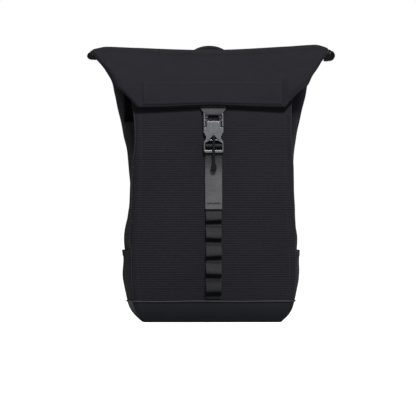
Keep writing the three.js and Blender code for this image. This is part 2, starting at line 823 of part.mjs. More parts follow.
// The strap rises behind its tail, passes over the ring's bar and comes down in front of itself to a
// doubled hem.
function makeBuckleStrap() {
  const half = strapThickness / 2;
  const rearOut = seamGap + half;
  const tailOut = rearOut + strapThickness + seamGap;
  const steps = 5;
  const rearFoot = strapTailHeight + strapHem / 2;
  const hemTop = strapTailHeight + strapHem;
  const turnIn = fromBuckle(ringFoot, 0).y - strapHem / 2;
  const rear = [];
  const tail = [];
  for (let i = 0; i <= steps; i += 1) {
    const share = i / steps;
    rear.push(overPanel(THREE.MathUtils.lerp(rearFoot, turnIn, share), rearOut));
    tail.push(overPanel(THREE.MathUtils.lerp(turnIn, hemTop, share), tailOut));
  }
  const behind = ringBack - seamGap - half;
  const overFoot = ringFoot + ringFootBar + seamGap + half;
  const rearTurn = [ringFoot + ringFootBar / 2, overFoot].map((up) =>
    fromBuckle(up, behind - strapThickness - 2 * seamGap),
  );
  const tailTurn = [fromBuckle(overFoot, behind + seamGap), fromBuckle(ringFoot + ringFootBar / 2, behind)];
  const turn = overBar(fromBuckle, barUp, barOut, strapTurn, Math.PI * 1.15);
  const hem = [hemTop - 0.5, strapTailHeight].map((z) => overPanel(z, tailOut));
  const line = [...rear, ...rearTurn, ...turn, ...tailTurn, ...tail, ...hem];
  const hemStart = line.length - hem.length;
  const outer = (z, i) => (i >= hemStart ? strapThickness : half);
  return ribbon(line, () => strapWidth, () => half, outer);
}

// One loop of the daisy chain: it leaves the upper tack, hangs out, curls back under and lies flat to the
// lower tack.
const loopShape = [
  { fall: 0.0, out: 0.0 },
  { fall: 0.05, out: 0.0 },
  { fall: 0.15, out: 0.25 },
  { fall: 0.28, out: 0.62 },
  { fall: 0.42, out: 0.93 },
  { fall: 0.52, out: 1.0 },
  { fall: 0.6, out: 0.86 },
  { fall: 0.66, out: 0.52 },
  { fall: 0.71, out: 0.2 },
  { fall: 0.78, out: 0.03 },
  { fall: 0.9, out: 0.0 },
  { fall: 1.0, out: 0.0 },
];
const loopPitch = (strapTailHeight - seamGap - chainBottom) / loopCount;
function makeLoop(index) {
  const top = strapTailHeight - seamGap - index * loopPitch;
  const line = loopShape.map(({ fall, out }) =>
    overPanel(top - fall * (loopPitch - seamGap), seamGap + strapThickness / 2 + out * loopStandoff),
  );
  line[0].x = line[1].x;
  line[line.length - 1].x = line[line.length - 2].x;
  return evenRibbon(line, strapWidth, strapThickness);
}

// A flat band along a 3-D line, as wide and thick as its functions say, with a softened edge.
function band(points, samples, widthAt, thicknessAt) {
  const curve = new THREE.CatmullRomCurve3(points);
  const surface = new Surface();
  const rows = [];
  const edge = 0.84;
  for (let i = 0; i <= samples; i += 1) {
    const share = i / samples;
    const centre = curve.getPointAt(share);
    const tangent = curve.getTangentAt(share);
    const sideways = new THREE.Vector3(0, 1, 0).cross(tangent).normalize();
    const outward = tangent.clone().cross(sideways).normalize();
    const w = widthAt(share) / 2;
    const t = thicknessAt(share) / 2;
    const corners = [
      [-w, -t * 0.3],
      [-w * edge, -t],
      [w * edge, -t],
      [w, -t * 0.3],
      [w, t * 0.3],
      [w * edge, t],
      [-w * edge, t],
      [-w, t * 0.3],
    ];
    rows.push(
      surface.row(
        corners.map(([a, b]) => centre.clone().addScaledVector(sideways, a).addScaledVector(outward, b)),
      ),
    );
  }
  return surface.closed(rows);
}

// The bound end of the fold, a soft block on the end of the closed tube.
function makeTip(side) {
  const start = halfSpan + seamGap - tipInset;
  const middle = crease.clone().add(new THREE.Vector2(tipForward, tipRise));
  const points = [0, 0.5, 1].map((share) => {
    const place = settled(new THREE.Vector3(side * start, middle.x, middle.y));
    place.x += side * share * tipLength;
    place.z -= share * tipDroop;
    return place;
  });
  const narrowing = (share) => THREE.MathUtils.lerp(1, 0.62, share ** 2);
  return band(points, 4, (share) => tipHeight * narrowing(share), (share) => tipDepth * narrowing(share));
}

function makeHandle() {
  const rise = handleTop - handleFoot;
  const y = backFace(handleWidth / 2, handleFoot) + seamGap + handleThickness / 2;
  const points = [];
  const half = handleWidth / 2;
  const steps = 8;
  for (let i = 0; i <= steps; i += 1) {
    const turn = Math.PI * (i / steps);
    const z = handleFoot + (rise - handleBand / 4) * Math.sin(turn) ** 0.6;
    points.push(new THREE.Vector3(-half * Math.cos(turn), y + handleLean * Math.sin(turn), z));
  }
  const folded = (share) => THREE.MathUtils.smoothstep(Math.sin(Math.PI * share), 0.25, 0.85);
  const width = (share) => THREE.MathUtils.lerp(handleBand, handleBand / 2, folded(share));
  const thickness = (share) => THREE.MathUtils.lerp(handleThickness, handleThickness * 2, folded(share));
  return band(points, 20, width, thickness);
}

// A shoulder strap: fall from its top to its end, spread from the middle outward, bow off the back.
const shoulderLine = [
  { fall: 0.0, spread: 0.0, bow: 0.0 },
  { fall: 0.04, spread: 0.0, bow: 0.02 },
  { fall: 0.1, spread: 0.01, bow: 0.22 },
  { fall: 0.18, spread: 0.04, bow: 0.55 },
  { fall: 0.32, spread: 0.14, bow: 0.88 },
  { fall: 0.5, spread: 0.38, bow: 1.0 },
  { fall: 0.7, spread: 0.72, bow: 0.9 },
  { fall: 0.86, spread: 0.93, bow: 0.7 },
  { fall: 0.95, spread: 1.0, bow: 0.62 },
  { fall: 1.0, spread: 1.0, bow: 0.6 },
];
const shoulderY = (z, bow) =>
  aftY(z) + 2 * seamGap + shoulderThickness / 2 + bow * (backPanelThickness + shoulderBow);
function makeShoulder(side) {
  const points = shoulderLine.map(({ fall, spread, bow }) => {
    const z = THREE.MathUtils.lerp(shoulderTop, shoulderEnd, fall);
    const x = THREE.MathUtils.lerp(shoulderApart, shoulderSpread, spread);
    return new THREE.Vector3(side * x, shoulderY(z, bow), z);
  });
  const width = (share) => THREE.MathUtils.lerp(shoulderWidth, adjusterWidth, share ** 2);
  return band(points, 18, width, () => shoulderThickness);
}

// The slider at the strap's end, and the webbing that runs from the base over its bar and hangs down outside.
const endRow = shoulderLine[shoulderLine.length - 1];
const adjusterTop = shoulderEnd - seamGap;
const adjusterY = shoulderY(shoulderEnd, endRow.bow);
const adjusterFoot = adjusterTop - adjusterHeight;
const adjusterBarZ = adjusterTop - adjusterHeight * 0.5;
function makeAdjuster() {
  const half = adjusterWidth / 2;
  const innerHalf = lowerWebWidth / 2 + 2 * seamGap;
  const outline = roundedBox(-half, adjusterFoot, half, adjusterTop, 3);
  outline.holes.push(
    roundedBox(-innerHalf, adjusterFoot + adjusterBar, innerHalf, adjusterTop - adjusterBar, 1),
  );
  const bar = roundedBox(
    -innerHalf - 1,
    adjusterBarZ - adjusterBar / 2,
    innerHalf + 1,
    adjusterBarZ + adjusterBar / 2,
    1,
  );
  return joined([
    towardFront(outline, -adjusterY - adjusterDepth / 2, adjusterDepth),
    towardFront(bar, -adjusterY - adjusterBar / 2, adjusterBar),
  ]);
}

const anchorTop = anchorFoot + anchorHeight;
const anchorFace = (z) => backFace(shoulderSpread - anchorWidth / 2, z) + seamGap;
function makeAnchor() {
  const steps = 3;
  const line = [];
  for (let i = 0; i <= steps; i += 1) {
    const z = THREE.MathUtils.lerp(anchorFoot, anchorTop, i / steps);
    line.push(new THREE.Vector2(anchorFace(z) + lowerWebThickness / 2, z));
  }
  const share = (z) => THREE.MathUtils.clamp((z - anchorFoot) / anchorHeight, 0, 1);
  const widthAt = (z) => THREE.MathUtils.lerp(anchorWidth, lowerWebWidth, share(z));
  const half = () => lowerWebThickness / 2;
  return ribbon(line, widthAt, half, half);
}

function makeLowerWebbing() {
  const half = lowerWebThickness / 2;
  const rest = anchorFace(anchorTop) + lowerWebThickness + seamGap + half;
  const behind = adjusterY - adjusterDepth / 2 - seamGap - half;
  const place = (z, out) => new THREE.Vector2(adjusterY + out, z);
  const tailY = adjusterY + adjusterDepth / 2 + seamGap + half;
  const line = [
    new THREE.Vector2(rest, anchorFoot + anchorHeight * 0.3),
    new THREE.Vector2(rest, anchorTop - half),
    new THREE.Vector2(THREE.MathUtils.lerp(rest, behind, 0.75), (anchorTop + adjusterFoot) / 2),
    new THREE.Vector2(behind, adjusterFoot + adjusterBar / 2),
    ...overBar(place, adjusterBarZ, 0, adjusterBar / 2 + 3 * seamGap + half, Math.PI),
    new THREE.Vector2(tailY, adjusterFoot + adjusterBar / 2),
    new THREE.Vector2(tailY - lowerWebThickness, adjusterFoot - lowerWebTail / 2),
    new THREE.Vector2(tailY - lowerWebThickness, adjusterFoot - lowerWebTail),
  ];
  return evenRibbon(line, lowerWebWidth, lowerWebThickness);
}

const group = new THREE.Group();
const blackCloth = { color: 0x26252b, roughness: 0.85, metalness: 0 };
const ribbedCloth = { color: 0x232328, roughness: 0.9, metalness: 0 };
const coatedCloth = { color: 0x25272a, roughness: 0.55, metalness: 0 };
const webbingCloth = { color: 0x4a4b4c, roughness: 0.7, metalness: 0 };
const castMetal = { color: 0x7d8083, roughness: 0.4, metalness: 0.6 };
const darkRubber = { color: 0x15171a, roughness: 0.6, metalness: 0 };
function place(parent, name, geometry, finish) {
  const mesh = new THREE.Mesh(geometry, new THREE.MeshStandardMaterial(finish));
  mesh.name = name;
  parent.add(mesh);
  return mesh;
}

place(group, "bag_body", makeBody(), blackCloth);
place(group, "front_panel", makeFrontPanel(), ribbedCloth);
place(group, "flap_panel", makeFlapPanel(), blackCloth);
place(group, "bottom_trim", makeTrim(), coatedCloth);
place(group, "back_panel", makeBackPanel(), blackCloth);
place(group, "side_pocket_left", makePocket(-1), blackCloth);
place(group, "side_pocket_right", makePocket(1), blackCloth);
place(group, "grab_handle", makeHandle(), webbingCloth);

const buckle = new THREE.Group();
buckle.position.set(0, headPoint.x, headPoint.y);
buckle.rotation.x = -Math.asin(buckleRun.x);
group.add(buckle);
place(buckle, "buckle_frame", makeBuckleFrame(), castMetal);
place(buckle, "buckle_plate", makeBucklePlate(), castMetal);
place(group, "buckle_pull", makeBucklePull(), darkRubber);
place(group, "buckle_tab", makeBuckleTab(), webbingCloth);
place(group, "buckle_strap", makeBuckleStrap(), webbingCloth);
for (let i = 0; i < loopCount; i += 1) {
  place(group, `webbing_loop_${i + 1}`, makeLoop(i), webbingCloth);
}

for (const [name, side] of [["left", -1], ["right", 1]]) {
  place(group, `wing_tip_${name}`, makeTip(side), darkRubber);
  place(group, `shoulder_strap_${name}`, makeShoulder(side), blackCloth);
  const lower = new THREE.Group();
  lower.position.x = side * shoulderSpread;
  group.add(lower);
  place(lower, `strap_adjuster_${name}`, makeAdjuster(), darkRubber);
  place(lower, `strap_anchor_${name}`, makeAnchor(), blackCloth);
  place(lower, `strap_webbing_${name}`, makeLowerWebbing(), webbingCloth);
}

export default group;
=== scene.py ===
import math

import bmesh
import bpy
import numpy as np
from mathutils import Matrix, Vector


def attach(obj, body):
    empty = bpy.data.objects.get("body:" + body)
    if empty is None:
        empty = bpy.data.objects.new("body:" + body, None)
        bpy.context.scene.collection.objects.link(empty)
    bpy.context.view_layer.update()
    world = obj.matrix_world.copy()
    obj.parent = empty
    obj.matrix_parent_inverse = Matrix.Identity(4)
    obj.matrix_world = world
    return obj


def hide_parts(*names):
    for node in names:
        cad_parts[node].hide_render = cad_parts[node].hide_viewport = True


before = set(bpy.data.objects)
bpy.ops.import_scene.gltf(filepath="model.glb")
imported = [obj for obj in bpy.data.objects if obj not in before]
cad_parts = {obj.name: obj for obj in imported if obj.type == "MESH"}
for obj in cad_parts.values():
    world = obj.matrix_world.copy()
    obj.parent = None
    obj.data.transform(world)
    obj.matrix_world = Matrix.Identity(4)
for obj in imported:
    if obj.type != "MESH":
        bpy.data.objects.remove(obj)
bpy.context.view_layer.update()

# Shapes are worked out in millimetres, as in the part's source, and stored in metres.
MM = 0.001

# Sizes of the bag
FOLD_HEIGHT = 485
BODY_WIDTH = 312
BODY_DEPTH = 156
FOLD_SPAN = 412
CLOTH_WALL = 2
SEAM_GAP = 0.3
CORNER_RADIUS = 8
FOLD_SAG = 7
FOLD_TILT = 2
FOLD_LIFT = 5
FOLD_SLACK = 48
LIP_HEIGHT = 375
LIP_WIDTH = 262
FLAP_THICKNESS = 10
NECK_THICKNESS = 26
FLAP_PANEL_WIDTH = 245
FLAP_PANEL_TOP = 415
FLAP_PANEL_HEM = 2
PANEL_WALL = 1.2
PANEL_TUCK = 14
TRIM_HEIGHT = 38
TRIM_WALL = 1.5
TRIM_LEDGE = 0.9
TRIM_LEDGE_HEIGHT = 3
POCKET_HEIGHT = 127
POCKET_WALL = 1.2
POCKET_SLACK = 2.6
BACK_PANEL_WIDTH = 236
BACK_PANEL_BOTTOM = 72
BACK_PANEL_TOP = 372
BACK_PANEL_THICKNESS = 9

# Sizes of the buckle and its webbing
STRAP_WIDTH = 30
STRAP_THICKNESS = 1.6
STRAP_TAIL_HEIGHT = 198
STRAP_HEM = 12
LOOP_COUNT = 5
LOOP_STANDOFF = 9
CHAIN_BOTTOM = 41
BUCKLE_WIDTH = 35
BUCKLE_TOP = 365
BUCKLE_FRAME_HEIGHT = 37
BUCKLE_BASE = 3.4
BUCKLE_RAIL = 3
BUCKLE_RAIL_DEPTH = 4
BUCKLE_SLOT_WIDTH = 18
BUCKLE_SLOT_HEIGHT = 9.5
BUCKLE_BAR = 3
PLATE_DEPTH = 3.2
PLATE_WIDTH = 24.5
PLATE_TOP = -13.5
PLATE_SHOULDER = -23.5
LEG_HEIGHT = 12.3
RING_HEIGHT = 20
RING_DEPTH = 5
RING_TOP_BAR = 1.6
RING_FOOT_BAR = 4.7
RING_BAR = 1.8
PULL_LENGTH = 64
PULL_NECK = 4.5
PULL_WIDTH = 10
PULL_THICKNESS = 1.8
PULL_HANG = 0.1
TAB_TOP_WIDTH = 45
TAB_BOTTOM_WIDTH = 32
TAB_THICKNESS = 1.3

# Sizes of the ends of the fold, the handle and the shoulder straps
TIP_LENGTH = 10
TIP_HEIGHT = 17
TIP_DEPTH = 20
TIP_FORWARD = 2
TIP_RISE = -1
TIP_DROOP = 2
TIP_INSET = 3
HANDLE_WIDTH = 78
HANDLE_TOP = 488
HANDLE_FOOT = 414
HANDLE_BAND = 22
HANDLE_THICKNESS = 3
HANDLE_LEAN = 5
SHOULDER_WIDTH = 62
SHOULDER_THICKNESS = 12
SHOULDER_TOP = 404
SHOULDER_END = 176
SHOULDER_SPREAD = 92
SHOULDER_APART = 52
SHOULDER_BOW = 34
WEB_WIDTH = 25
WEB_THICKNESS = 2
WEB_TAIL = 60
ADJUSTER_WIDTH = 34
ADJUSTER_HEIGHT = 28
ADJUSTER_DEPTH = 6
ADJUSTER_BAR = 3
ANCHOR_FOOT = 42
ANCHOR_HEIGHT = 24
ANCHOR_WIDTH = 42

HALF_WIDTH = BODY_WIDTH / 2
HALF_DEPTH = BODY_DEPTH / 2
HALF_SPAN = FOLD_SPAN / 2

# The tube's sections: rise, then the half widths at the front, halfway back and at the back, then the
# distances of the front and back faces from the middle plane, the crown of a face and the pinch behind the
# front corner, all as shares of the half width or the half depth.
RISE, FRONT, SIDE, BACK, FORE, AFT, CROWN, PINCH = range(8)
TUBE = np.array([
    (0.0, 0.756, 0.765, 0.756, -0.82, 0.8, 0.02, 0),
    (0.026, 0.835, 0.85, 0.835, -0.92, 0.89, 0.03, 0),
    (0.052, 0.88, 0.905, 0.88, -0.97, 0.93, 0.04, 0),
    (0.084, 0.905, 0.935, 0.905, -0.99, 0.94, 0.05, 0),
    (0.13, 0.925, 0.955, 0.925, -1.02, 0.95, 0.07, 0),
    (0.185, 0.937, 0.966, 0.937, -1.045, 0.95, 0.09, 0),
    (0.24, 0.938, 0.957, 0.94, -1.055, 0.95, 0.1, 0),
    (0.275, 0.935, 0.955, 0.936, -1.05, 0.95, 0.1, 0),
    (0.345, 0.925, 0.952, 0.93, -1.03, 0.945, 0.09, 0),
    (0.42, 0.91, 0.922, 0.912, -1.0, 0.94, 0.08, 0),
    (0.5, 0.9, 0.905, 0.903, -0.975, 0.935, 0.07, 0),
    (0.575, 0.894, 0.92, 0.908, -0.96, 0.93, 0.06, 0),
    (0.642, 0.89, 0.938, 0.92, -0.94, 0.925, 0.06, 0.02),
    (0.703, 0.888, 0.968, 0.945, -0.915, 0.92, 0.06, 0.05),
    (0.763, 0.89, 1.003, 0.97, -0.87, 0.905, 0.07, 0.085),
    (0.817, 0.9, 1.035, 1.0, -0.785, 0.88, 0.09, 0.1),
    (0.862, 0.93, 1.062, 1.03, -0.65, 0.82, 0.11, 0.085),
    (0.905, 0.985, 1.095, 1.07, -0.48, 0.72, 0.12, 0.05),
    (0.944, 1.075, 1.172, 1.153, -0.285, 0.61, 0.11, 0.02),
    (0.974, 1.19, 1.245, 1.235, -0.12, 0.49, 0.08, 0),
    (1.0, 1.28, 1.3, 1.298, 0.02, 0.36, 0.05, 0),
])
# The flap's half width from the fold down to the lip: share of the drop, share of the half span.
FLAP = np.array([
    (0.0, 0.985),
    (0.14, 0.957),
    (0.28, 0.91),
    (0.42, 0.858),
    (0.62, 0.812),
    (0.7, 0.767),
    (0.82, 0.71),
    (0.92, 0.668),
    (1.0, 0.636),
])
SIDE_SKEW = 1.35
PINCH_PLACE = 0.17
PINCH_REACH = 0.1
LENS_CROWN = 0.5
THINNEST_END = CLOTH_WALL + 0.9
# Where the sides stand out more than the sections say: height, reach and distance
SWELLS = ((146, 22, 2.8), (80, 27, 2.6))
# Points round one section: steps along a face, round a corner and along a side, and halfway round a corner
FACE, CORNER, EDGE = 116, 6, 54
MID_CORNER = 3
HEIGHT_STEP = 4.0


def smooth(x, low, high):
    t = np.clip((np.asarray(x, float) - low) / (high - low), 0, 1)
    return t * t * (3 - 2 * t)


def lerp(a, b, t):
    return a + (b - a) * t


def bell(distance, reach):
    """1 at no distance, falling to 0 at about twice the reach."""
    return np.exp(-((distance / reach) ** 2))


def circle(count):
    """Angles spread evenly round a circle."""
    return np.linspace(0, 2 * math.pi, count + 1)[:-1]


def hermite(t, start, slope_start, end, slope_end):
    """The cubic from start to end with these slopes, for t from 0 to 1."""
    return (
        (2 * t**3 - 3 * t**2 + 1) * start
        + (t**3 - 2 * t**2 + t) * slope_start
        + (3 * t**2 - 2 * t**3) * end
        + (t**3 - t**2) * slope_end
    )


def read_table(table, column, place):
    """A smooth reading of one column of a table at any place along its first column."""
    keys = table[:, 0]
    values = table[:, column]
    last = len(keys) - 1
    i = int(np.clip(np.searchsorted(keys, place) - 1, 0, last - 1))
    before = max(i - 1, 0)
    after = min(i + 2, last)
    span = keys[i + 1] - keys[i]
    t = float(np.clip((place - keys[i]) / span, 0, 1))
    slope_a = (values[i + 1] - values[before]) / (keys[i + 1] - keys[before]) * span
    slope_b = (values[after] - values[i]) / (keys[after] - keys[i]) * span
    return hermite(t, values[i], slope_a, values[i + 1], slope_b)


# The fold: the tube turns about a crease in front of its neck, from level to square to the sloping front.
FLAP_GAP = PANEL_WALL + TAB_THICKNESS + 4 * SEAM_GAP
CREASE_RADIUS = FLAP_GAP / 2
FLAP_RADIUS = CREASE_RADIUS + FLAP_THICKNESS
NECK_RADIUS = CREASE_RADIUS + NECK_THICKNESS
NECK_LEAN = math.atan2((TUBE[-1, FORE] - TUBE[-4, FORE]) * HALF_DEPTH, (1 - TUBE[-4, RISE]) * FOLD_HEIGHT)
FOLD_TURN = math.pi - NECK_LEAN
TOP_RADIUS = lerp(NECK_RADIUS, FLAP_RADIUS, math.pi / 2 / FOLD_TURN)
NECK_HEIGHT = FOLD_HEIGHT - TOP_RADIUS - CREASE_RADIUS * math.sin(NECK_LEAN)
NECK_SPREAD = TUBE[-1, SIDE] + 0.02


def tube(column, z):
    return read_table(TUBE, column, z / NECK_HEIGHT)


def fore_y(z):
    return tube(FORE, z) * HALF_DEPTH


def aft_y(z):
    return tube(AFT, z) * HALF_DEPTH


def settled(points):
    """How the closed top hangs: it sags in the middle and stands a little higher at one side."""
    points = np.array(points, float)
    share = smooth(points[..., 2], NECK_HEIGHT - FOLD_SLACK, NECK_HEIGHT)
    across = np.clip(points[..., 0] / HALF_SPAN, -1, 1)
    sag = -FOLD_SAG * np.cos(across * math.pi / 2) ** 2 + FOLD_TILT * across
    lift = FOLD_LIFT * across**2
    points[..., 2] += share * (sag + lift)
    return points


def breadth(z):
    return lerp(HALF_WIDTH, HALF_SPAN / NECK_SPREAD, float(smooth(z / NECK_HEIGHT, 0.82, 1)))


def tube_station(z):
    bulge = sum(out * bell(z - height, reach) for height, reach, out in SWELLS)
    return {
        "fore": np.array((fore_y(z), z)),
        "aft": np.array((aft_y(z), z)),
        "front": tube(FRONT, z) * breadth(z),
        "side": tube(SIDE, z) * breadth(z) + bulge,
        "back": tube(BACK, z) * breadth(z),
        "crown": tube(CROWN, z) * HALF_DEPTH,
        "pinch": tube(PINCH, z) * HALF_WIDTH,
    }


NECK_POINT = np.array((fore_y(NECK_HEIGHT), NECK_HEIGHT))
LEAN_OUT = np.array((-math.cos(NECK_LEAN), math.sin(NECK_LEAN)))
CREASE = NECK_POINT + LEAN_OUT * CREASE_RADIUS


def bend_station(share):
    angle = FOLD_TURN * share
    along = np.array((math.cos(angle), math.sin(angle)))
    radius = lerp(NECK_RADIUS, FLAP_RADIUS, share)
    half = HALF_SPAN * lerp(0.985, 1, math.sin(math.pi * share))
    return {
        "fore": CREASE + along * CREASE_RADIUS,
        "aft": CREASE + along * radius,
        "front": half - 3,
        "side": half,
        "back": half - 3,
        "crown": (radius - CREASE_RADIUS) / 2 * LENS_CROWN,
        "pinch": 0,
    }


def front_normal(z):
    run = np.array((fore_y(z + 2) - fore_y(z - 2), 4.0))
    run /= np.linalg.norm(run)
    return np.array((-run[1], run[0]))


def flap_station(drop):
    z = lerp(NECK_HEIGHT, LIP_HEIGHT, drop)
    normal = LEAN_OUT if drop == 0 else front_normal(z)
    base = np.array((fore_y(z), z))
    taper = lerp(HALF_SPAN, LIP_WIDTH / 2 / FLAP[-1, 1], float(smooth(drop, 0.4, 1)))
    half = read_table(FLAP, 1, drop) * taper
    return {
        "fore": base + normal * FLAP_GAP,
        "aft": base + normal * (FLAP_GAP + FLAP_THICKNESS),
        "front": half - 1.5,
        "side": half,
        "back": half - 1.5,
        "crown": FLAP_THICKNESS / 2 * LENS_CROWN,
        "pinch": 0,
    }


def ring(station, grow):
    """One closed ring round a section, moved out by grow. It runs from the left end of the front face over
    the right side."""
    across = station["aft"] - station["fore"]
    half = np.linalg.norm(across) / 2
    middle = (station["fore"] + station["aft"]) / 2
    across = across / (2 * half)
    crown = min(station["crown"], half - THINNEST_END)
    end = half - crown + grow
    radius = min(CORNER_RADIUS + grow, end * 0.9)
    front = station["front"] + grow
    back = station["back"] + grow
    bulge = station["side"] - (station["front"] + station["back"]) / 2
    t = np.linspace(-1, 1, FACE + 1)
    first = np.stack((t * (front - radius), -half - grow + crown * t * t), 1)
    turn = math.pi / 2 * np.arange(1, CORNER) / CORNER
    near = np.stack((front - radius + radius * np.sin(turn), -end + radius - radius * np.cos(turn)), 1)
    s = np.linspace(0, 1, EDGE + 1)
    fold = station["pinch"] * bell(s - PINCH_PLACE, PINCH_REACH)
    edge = np.stack((lerp(front, back, s) + bulge * np.sin(math.pi * s**SIDE_SKEW) - fold,
                     lerp(-end + radius, end - radius, s)), 1)
    far = np.stack((back - radius + radius * np.cos(turn), end - radius + radius * np.sin(turn)), 1)
    rear = np.stack((-t * (back - radius), half + grow - crown * t * t), 1)
    right = np.concatenate((near, edge, far))
    left = right[::-1] * (-1, 1)
    x, out = np.concatenate((first, right, rear, left)).T
    return settled(np.stack((x, middle[0] + out * across[0], middle[1] + out * across[1]), 1))


def ripple(points, length, seed, waves=5):
    """Soft unevenness of about one unit, with waves about as long as given."""
    random = np.random.default_rng(seed)
    total = np.zeros(points.shape[:-1])
    for _ in range(waves):
        heading = random.normal(size=3)
        heading /= np.linalg.norm(heading)
        count = 2 * math.pi / length * random.uniform(0.6, 1.5)
        total += np.sin(points @ heading * count + random.uniform(0, 2 * math.pi))
    return total / math.sqrt(waves)


def hung(points):
    """The small folds and dents of the cloth. Pieces that lie on each other take the same ones, and the strip
    that carries the buckle and the webbing keeps flat."""
    points = np.array(points, float)
    x, y, z = points[..., 0], points[..., 1], points[..., 2]
    calm = np.where(y < 0, smooth(np.abs(x), 18, 48), 0.25 + 0.75 * smooth(np.abs(x), 118, 150))
    calm = calm * smooth(z, 44, 90)
    side = smooth(np.abs(x) / HALF_WIDTH, 0.72, 0.9)
    out = np.sign(x)
    moved = points.copy()
    moved[..., 1] += calm * (1.0 * ripple(points, 150, 3) + 0.45 * ripple(points, 62, 4))
    moved[..., 0] += calm * side * out * (1.0 * ripple(points, 120, 5) + 0.4 * ripple(points, 48, 6))
    moved[..., 2] += calm * 0.5 * ripple(points, 110, 8) * smooth(z, 300, 440)
    return moved


def near_line(points, start, end, reach):
    """1 on a line between two places given as x and z, falling to 0 at about twice the reach from it."""
    start, end = np.array(start, float), np.array(end, float)
    flat = points[..., (0, 2)] - start
    run = end - start
    share = np.clip(flat @ run / (run @ run), 0, 1)
    return bell(np.linalg.norm(flat - share[..., None] * run, axis=-1), reach)


# The creases of the hanging flap, beside its stiffener and out to each wing: from x and z, to x and z, reach
# and depth
CREASES = (
    ((127, 420), (131, 386), 3.2, 3.4),
    ((124.5, 418), (126, 388), 2.0, -1.6),
    ((137, 391), (166, 420), 4.0, 3.0),
    ((141, 387), (170, 416), 3.0, -1.4),
    ((-128, 421), (-127, 386), 3.5, 0.9),
    ((-150, 401), (-172, 424), 5, 1.3),
    ((120, 436), (176, 452), 7, 1.4),
    ((-118, 434), (-180, 455), 8, 1.2),
)
FLAP_SHIFT = 3.2
LIP_RISE = 3.6


def creased(points):
    """The hanging flap with its creases. Its lower half lies a little to the left, and its lip is arched."""
    points = np.array(points, float)
    for start, end, reach, depth in CREASES:
        points[..., 1] += depth * near_line(points, start, end, reach)
    x, z = points[..., 0], points[..., 2]
    points[..., 0] -= FLAP_SHIFT * smooth(np.abs(x), 118, 130) * (1 - smooth(z, 378, 440))
    points[..., 2] += LIP_RISE * bell(x, 55) * (1 - smooth(z, 372, 402))
    return points


FOLD_END_LEFT, FOLD_END_RIGHT = 469.5, 467.0
FOLD_END_REACH = 7.0


def narrowed(points):
    """The ends of the fold run out to their bound tips."""
    points = np.array(points, float)
    x, z = points[..., 0], points[..., 2]
    share = smooth(np.abs(x), 184, 207) * smooth(z, 440, 452)
    middle = np.where(x < 0, FOLD_END_LEFT, FOLD_END_RIGHT)
    points[..., 2] += share * 0.34 * (middle - z)
    points[..., 0] += np.sign(x) * FOLD_END_REACH * share
    return points


TUCK_DEPTH = 18
TUCK_FOOT = 355.5
# The folds that hang under the tuck, on both sides: distance from the middle, lean, reach and height
HANGING_FOLDS = ((146, 0.06, 2.6, 1.7), (152, -0.05, 2.8, -1.5), (158, 0.04, 3, 1.3))


def tucked(points):
    """The deep fold of the gusset beside the front panel, and the smaller folds that hang under it."""
    points = np.array(points, float)
    x, y, z = points[..., 0], points[..., 1], points[..., 2]
    front = smooth(-y, -12, 4)
    deep = smooth(x, -152.5, -148.5) * (1 - smooth(x, -139, -135))
    tall = smooth(z, 351, 355) * (1 - smooth(z, 398, 412))
    depth = TUCK_DEPTH * deep * tall * front
    ledge = 3.0 * bell(z - TUCK_FOOT, 2.0) * smooth(-x, 141, 146) * (1 - smooth(-x, 158, 166)) * front
    hanging = smooth(z, 215, 270) * (1 - smooth(z, 345, 352)) * front
    folds = np.zeros(x.shape)
    for at, lean, reach, height in HANGING_FOLDS:
        folds += height * bell(np.abs(x) - at - lean * (z - 330), reach)
    points[..., 1] += depth + ledge + folds * hanging
    points[..., 0] += 0.45 * depth
    return points


class Shell:
    """Points, faces and cloth coordinates of one mesh while it is put together."""

    def __init__(self):
        self.points = []
        self.faces = []
        self.places = []
        self.count = 0

    def grid(self, rows, u=None, v=None, closed=False, flip=False):
        rows = np.asarray(rows, float)
        high, wide = rows.shape[:2]
        if u is None:
            u = lengths(rows[high // 2], closed)
        if v is None:
            v = lengths(rows[:, wide // 2], False)
        ids = self.count + np.arange(high * wide).reshape(high, wide)
        self.points.append(rows.reshape(-1, 3))
        self.count += high * wide
        span = wide if closed else wide - 1
        j = np.arange(span)
        k = (j + 1) % wide
        for i in range(high - 1):
            quads = np.stack((ids[i, j], ids[i, k], ids[i + 1, k], ids[i + 1, j]), 1)
            low, up = np.full(span, v[i]), np.full(span, v[i + 1])
            places = np.stack((
                np.stack((u[j], low), 1),
                np.stack((u[j + 1], low), 1),
                np.stack((u[j + 1], up), 1),
                np.stack((u[j], up), 1),
            ), 1)
            if flip:
                quads, places = quads[:, ::-1], places[:, ::-1]
            self.faces.extend(quads.tolist())
            self.places.append(places.reshape(-1, 2))
        return ids

    def face(self, ids):
        self.faces.append([int(i) for i in ids])
        self.places.append(np.zeros((len(ids), 2)))

    def done(self, name, weld=True):
        mesh = bpy.data.meshes.new(name)
        mesh.from_pydata((np.concatenate(self.points) * MM).tolist(), [], self.faces)
        layer = mesh.uv_layers.new(name="cloth")
        layer.data.foreach_set("uv", np.concatenate(self.places).astype(np.float32).ravel())
        if weld:
            work = bmesh.new()
            work.from_mesh(mesh)
            bmesh.ops.remove_doubles(work, verts=work.verts, dist=2e-6)
            work.to_mesh(mesh)
            work.free()
        mesh.shade_smooth()
        return shown(name, mesh)


def shown(name, data):
    made = bpy.data.objects.new(name, data)
    bpy.context.scene.collection.objects.link(made)
    return made


def lengths(points, closed):
    """The distance along a line at each of its points, and once round where it is closed."""
    points = np.asarray(points, float)
    if closed:
        points = np.concatenate((points, points[:1]))
    return np.concatenate(([0], np.cumsum(np.linalg.norm(np.diff(points, axis=0), axis=1))))


def finished(piece, material, slot, *replaced):
    """Gives a piece its material, lets it ride on the body and hides the parts of the model that it stands for."""
    piece.data.materials.clear()
    piece.data.materials.append(material)
    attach(piece, "root")
    if replaced:
        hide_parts(*replaced)
    return piece


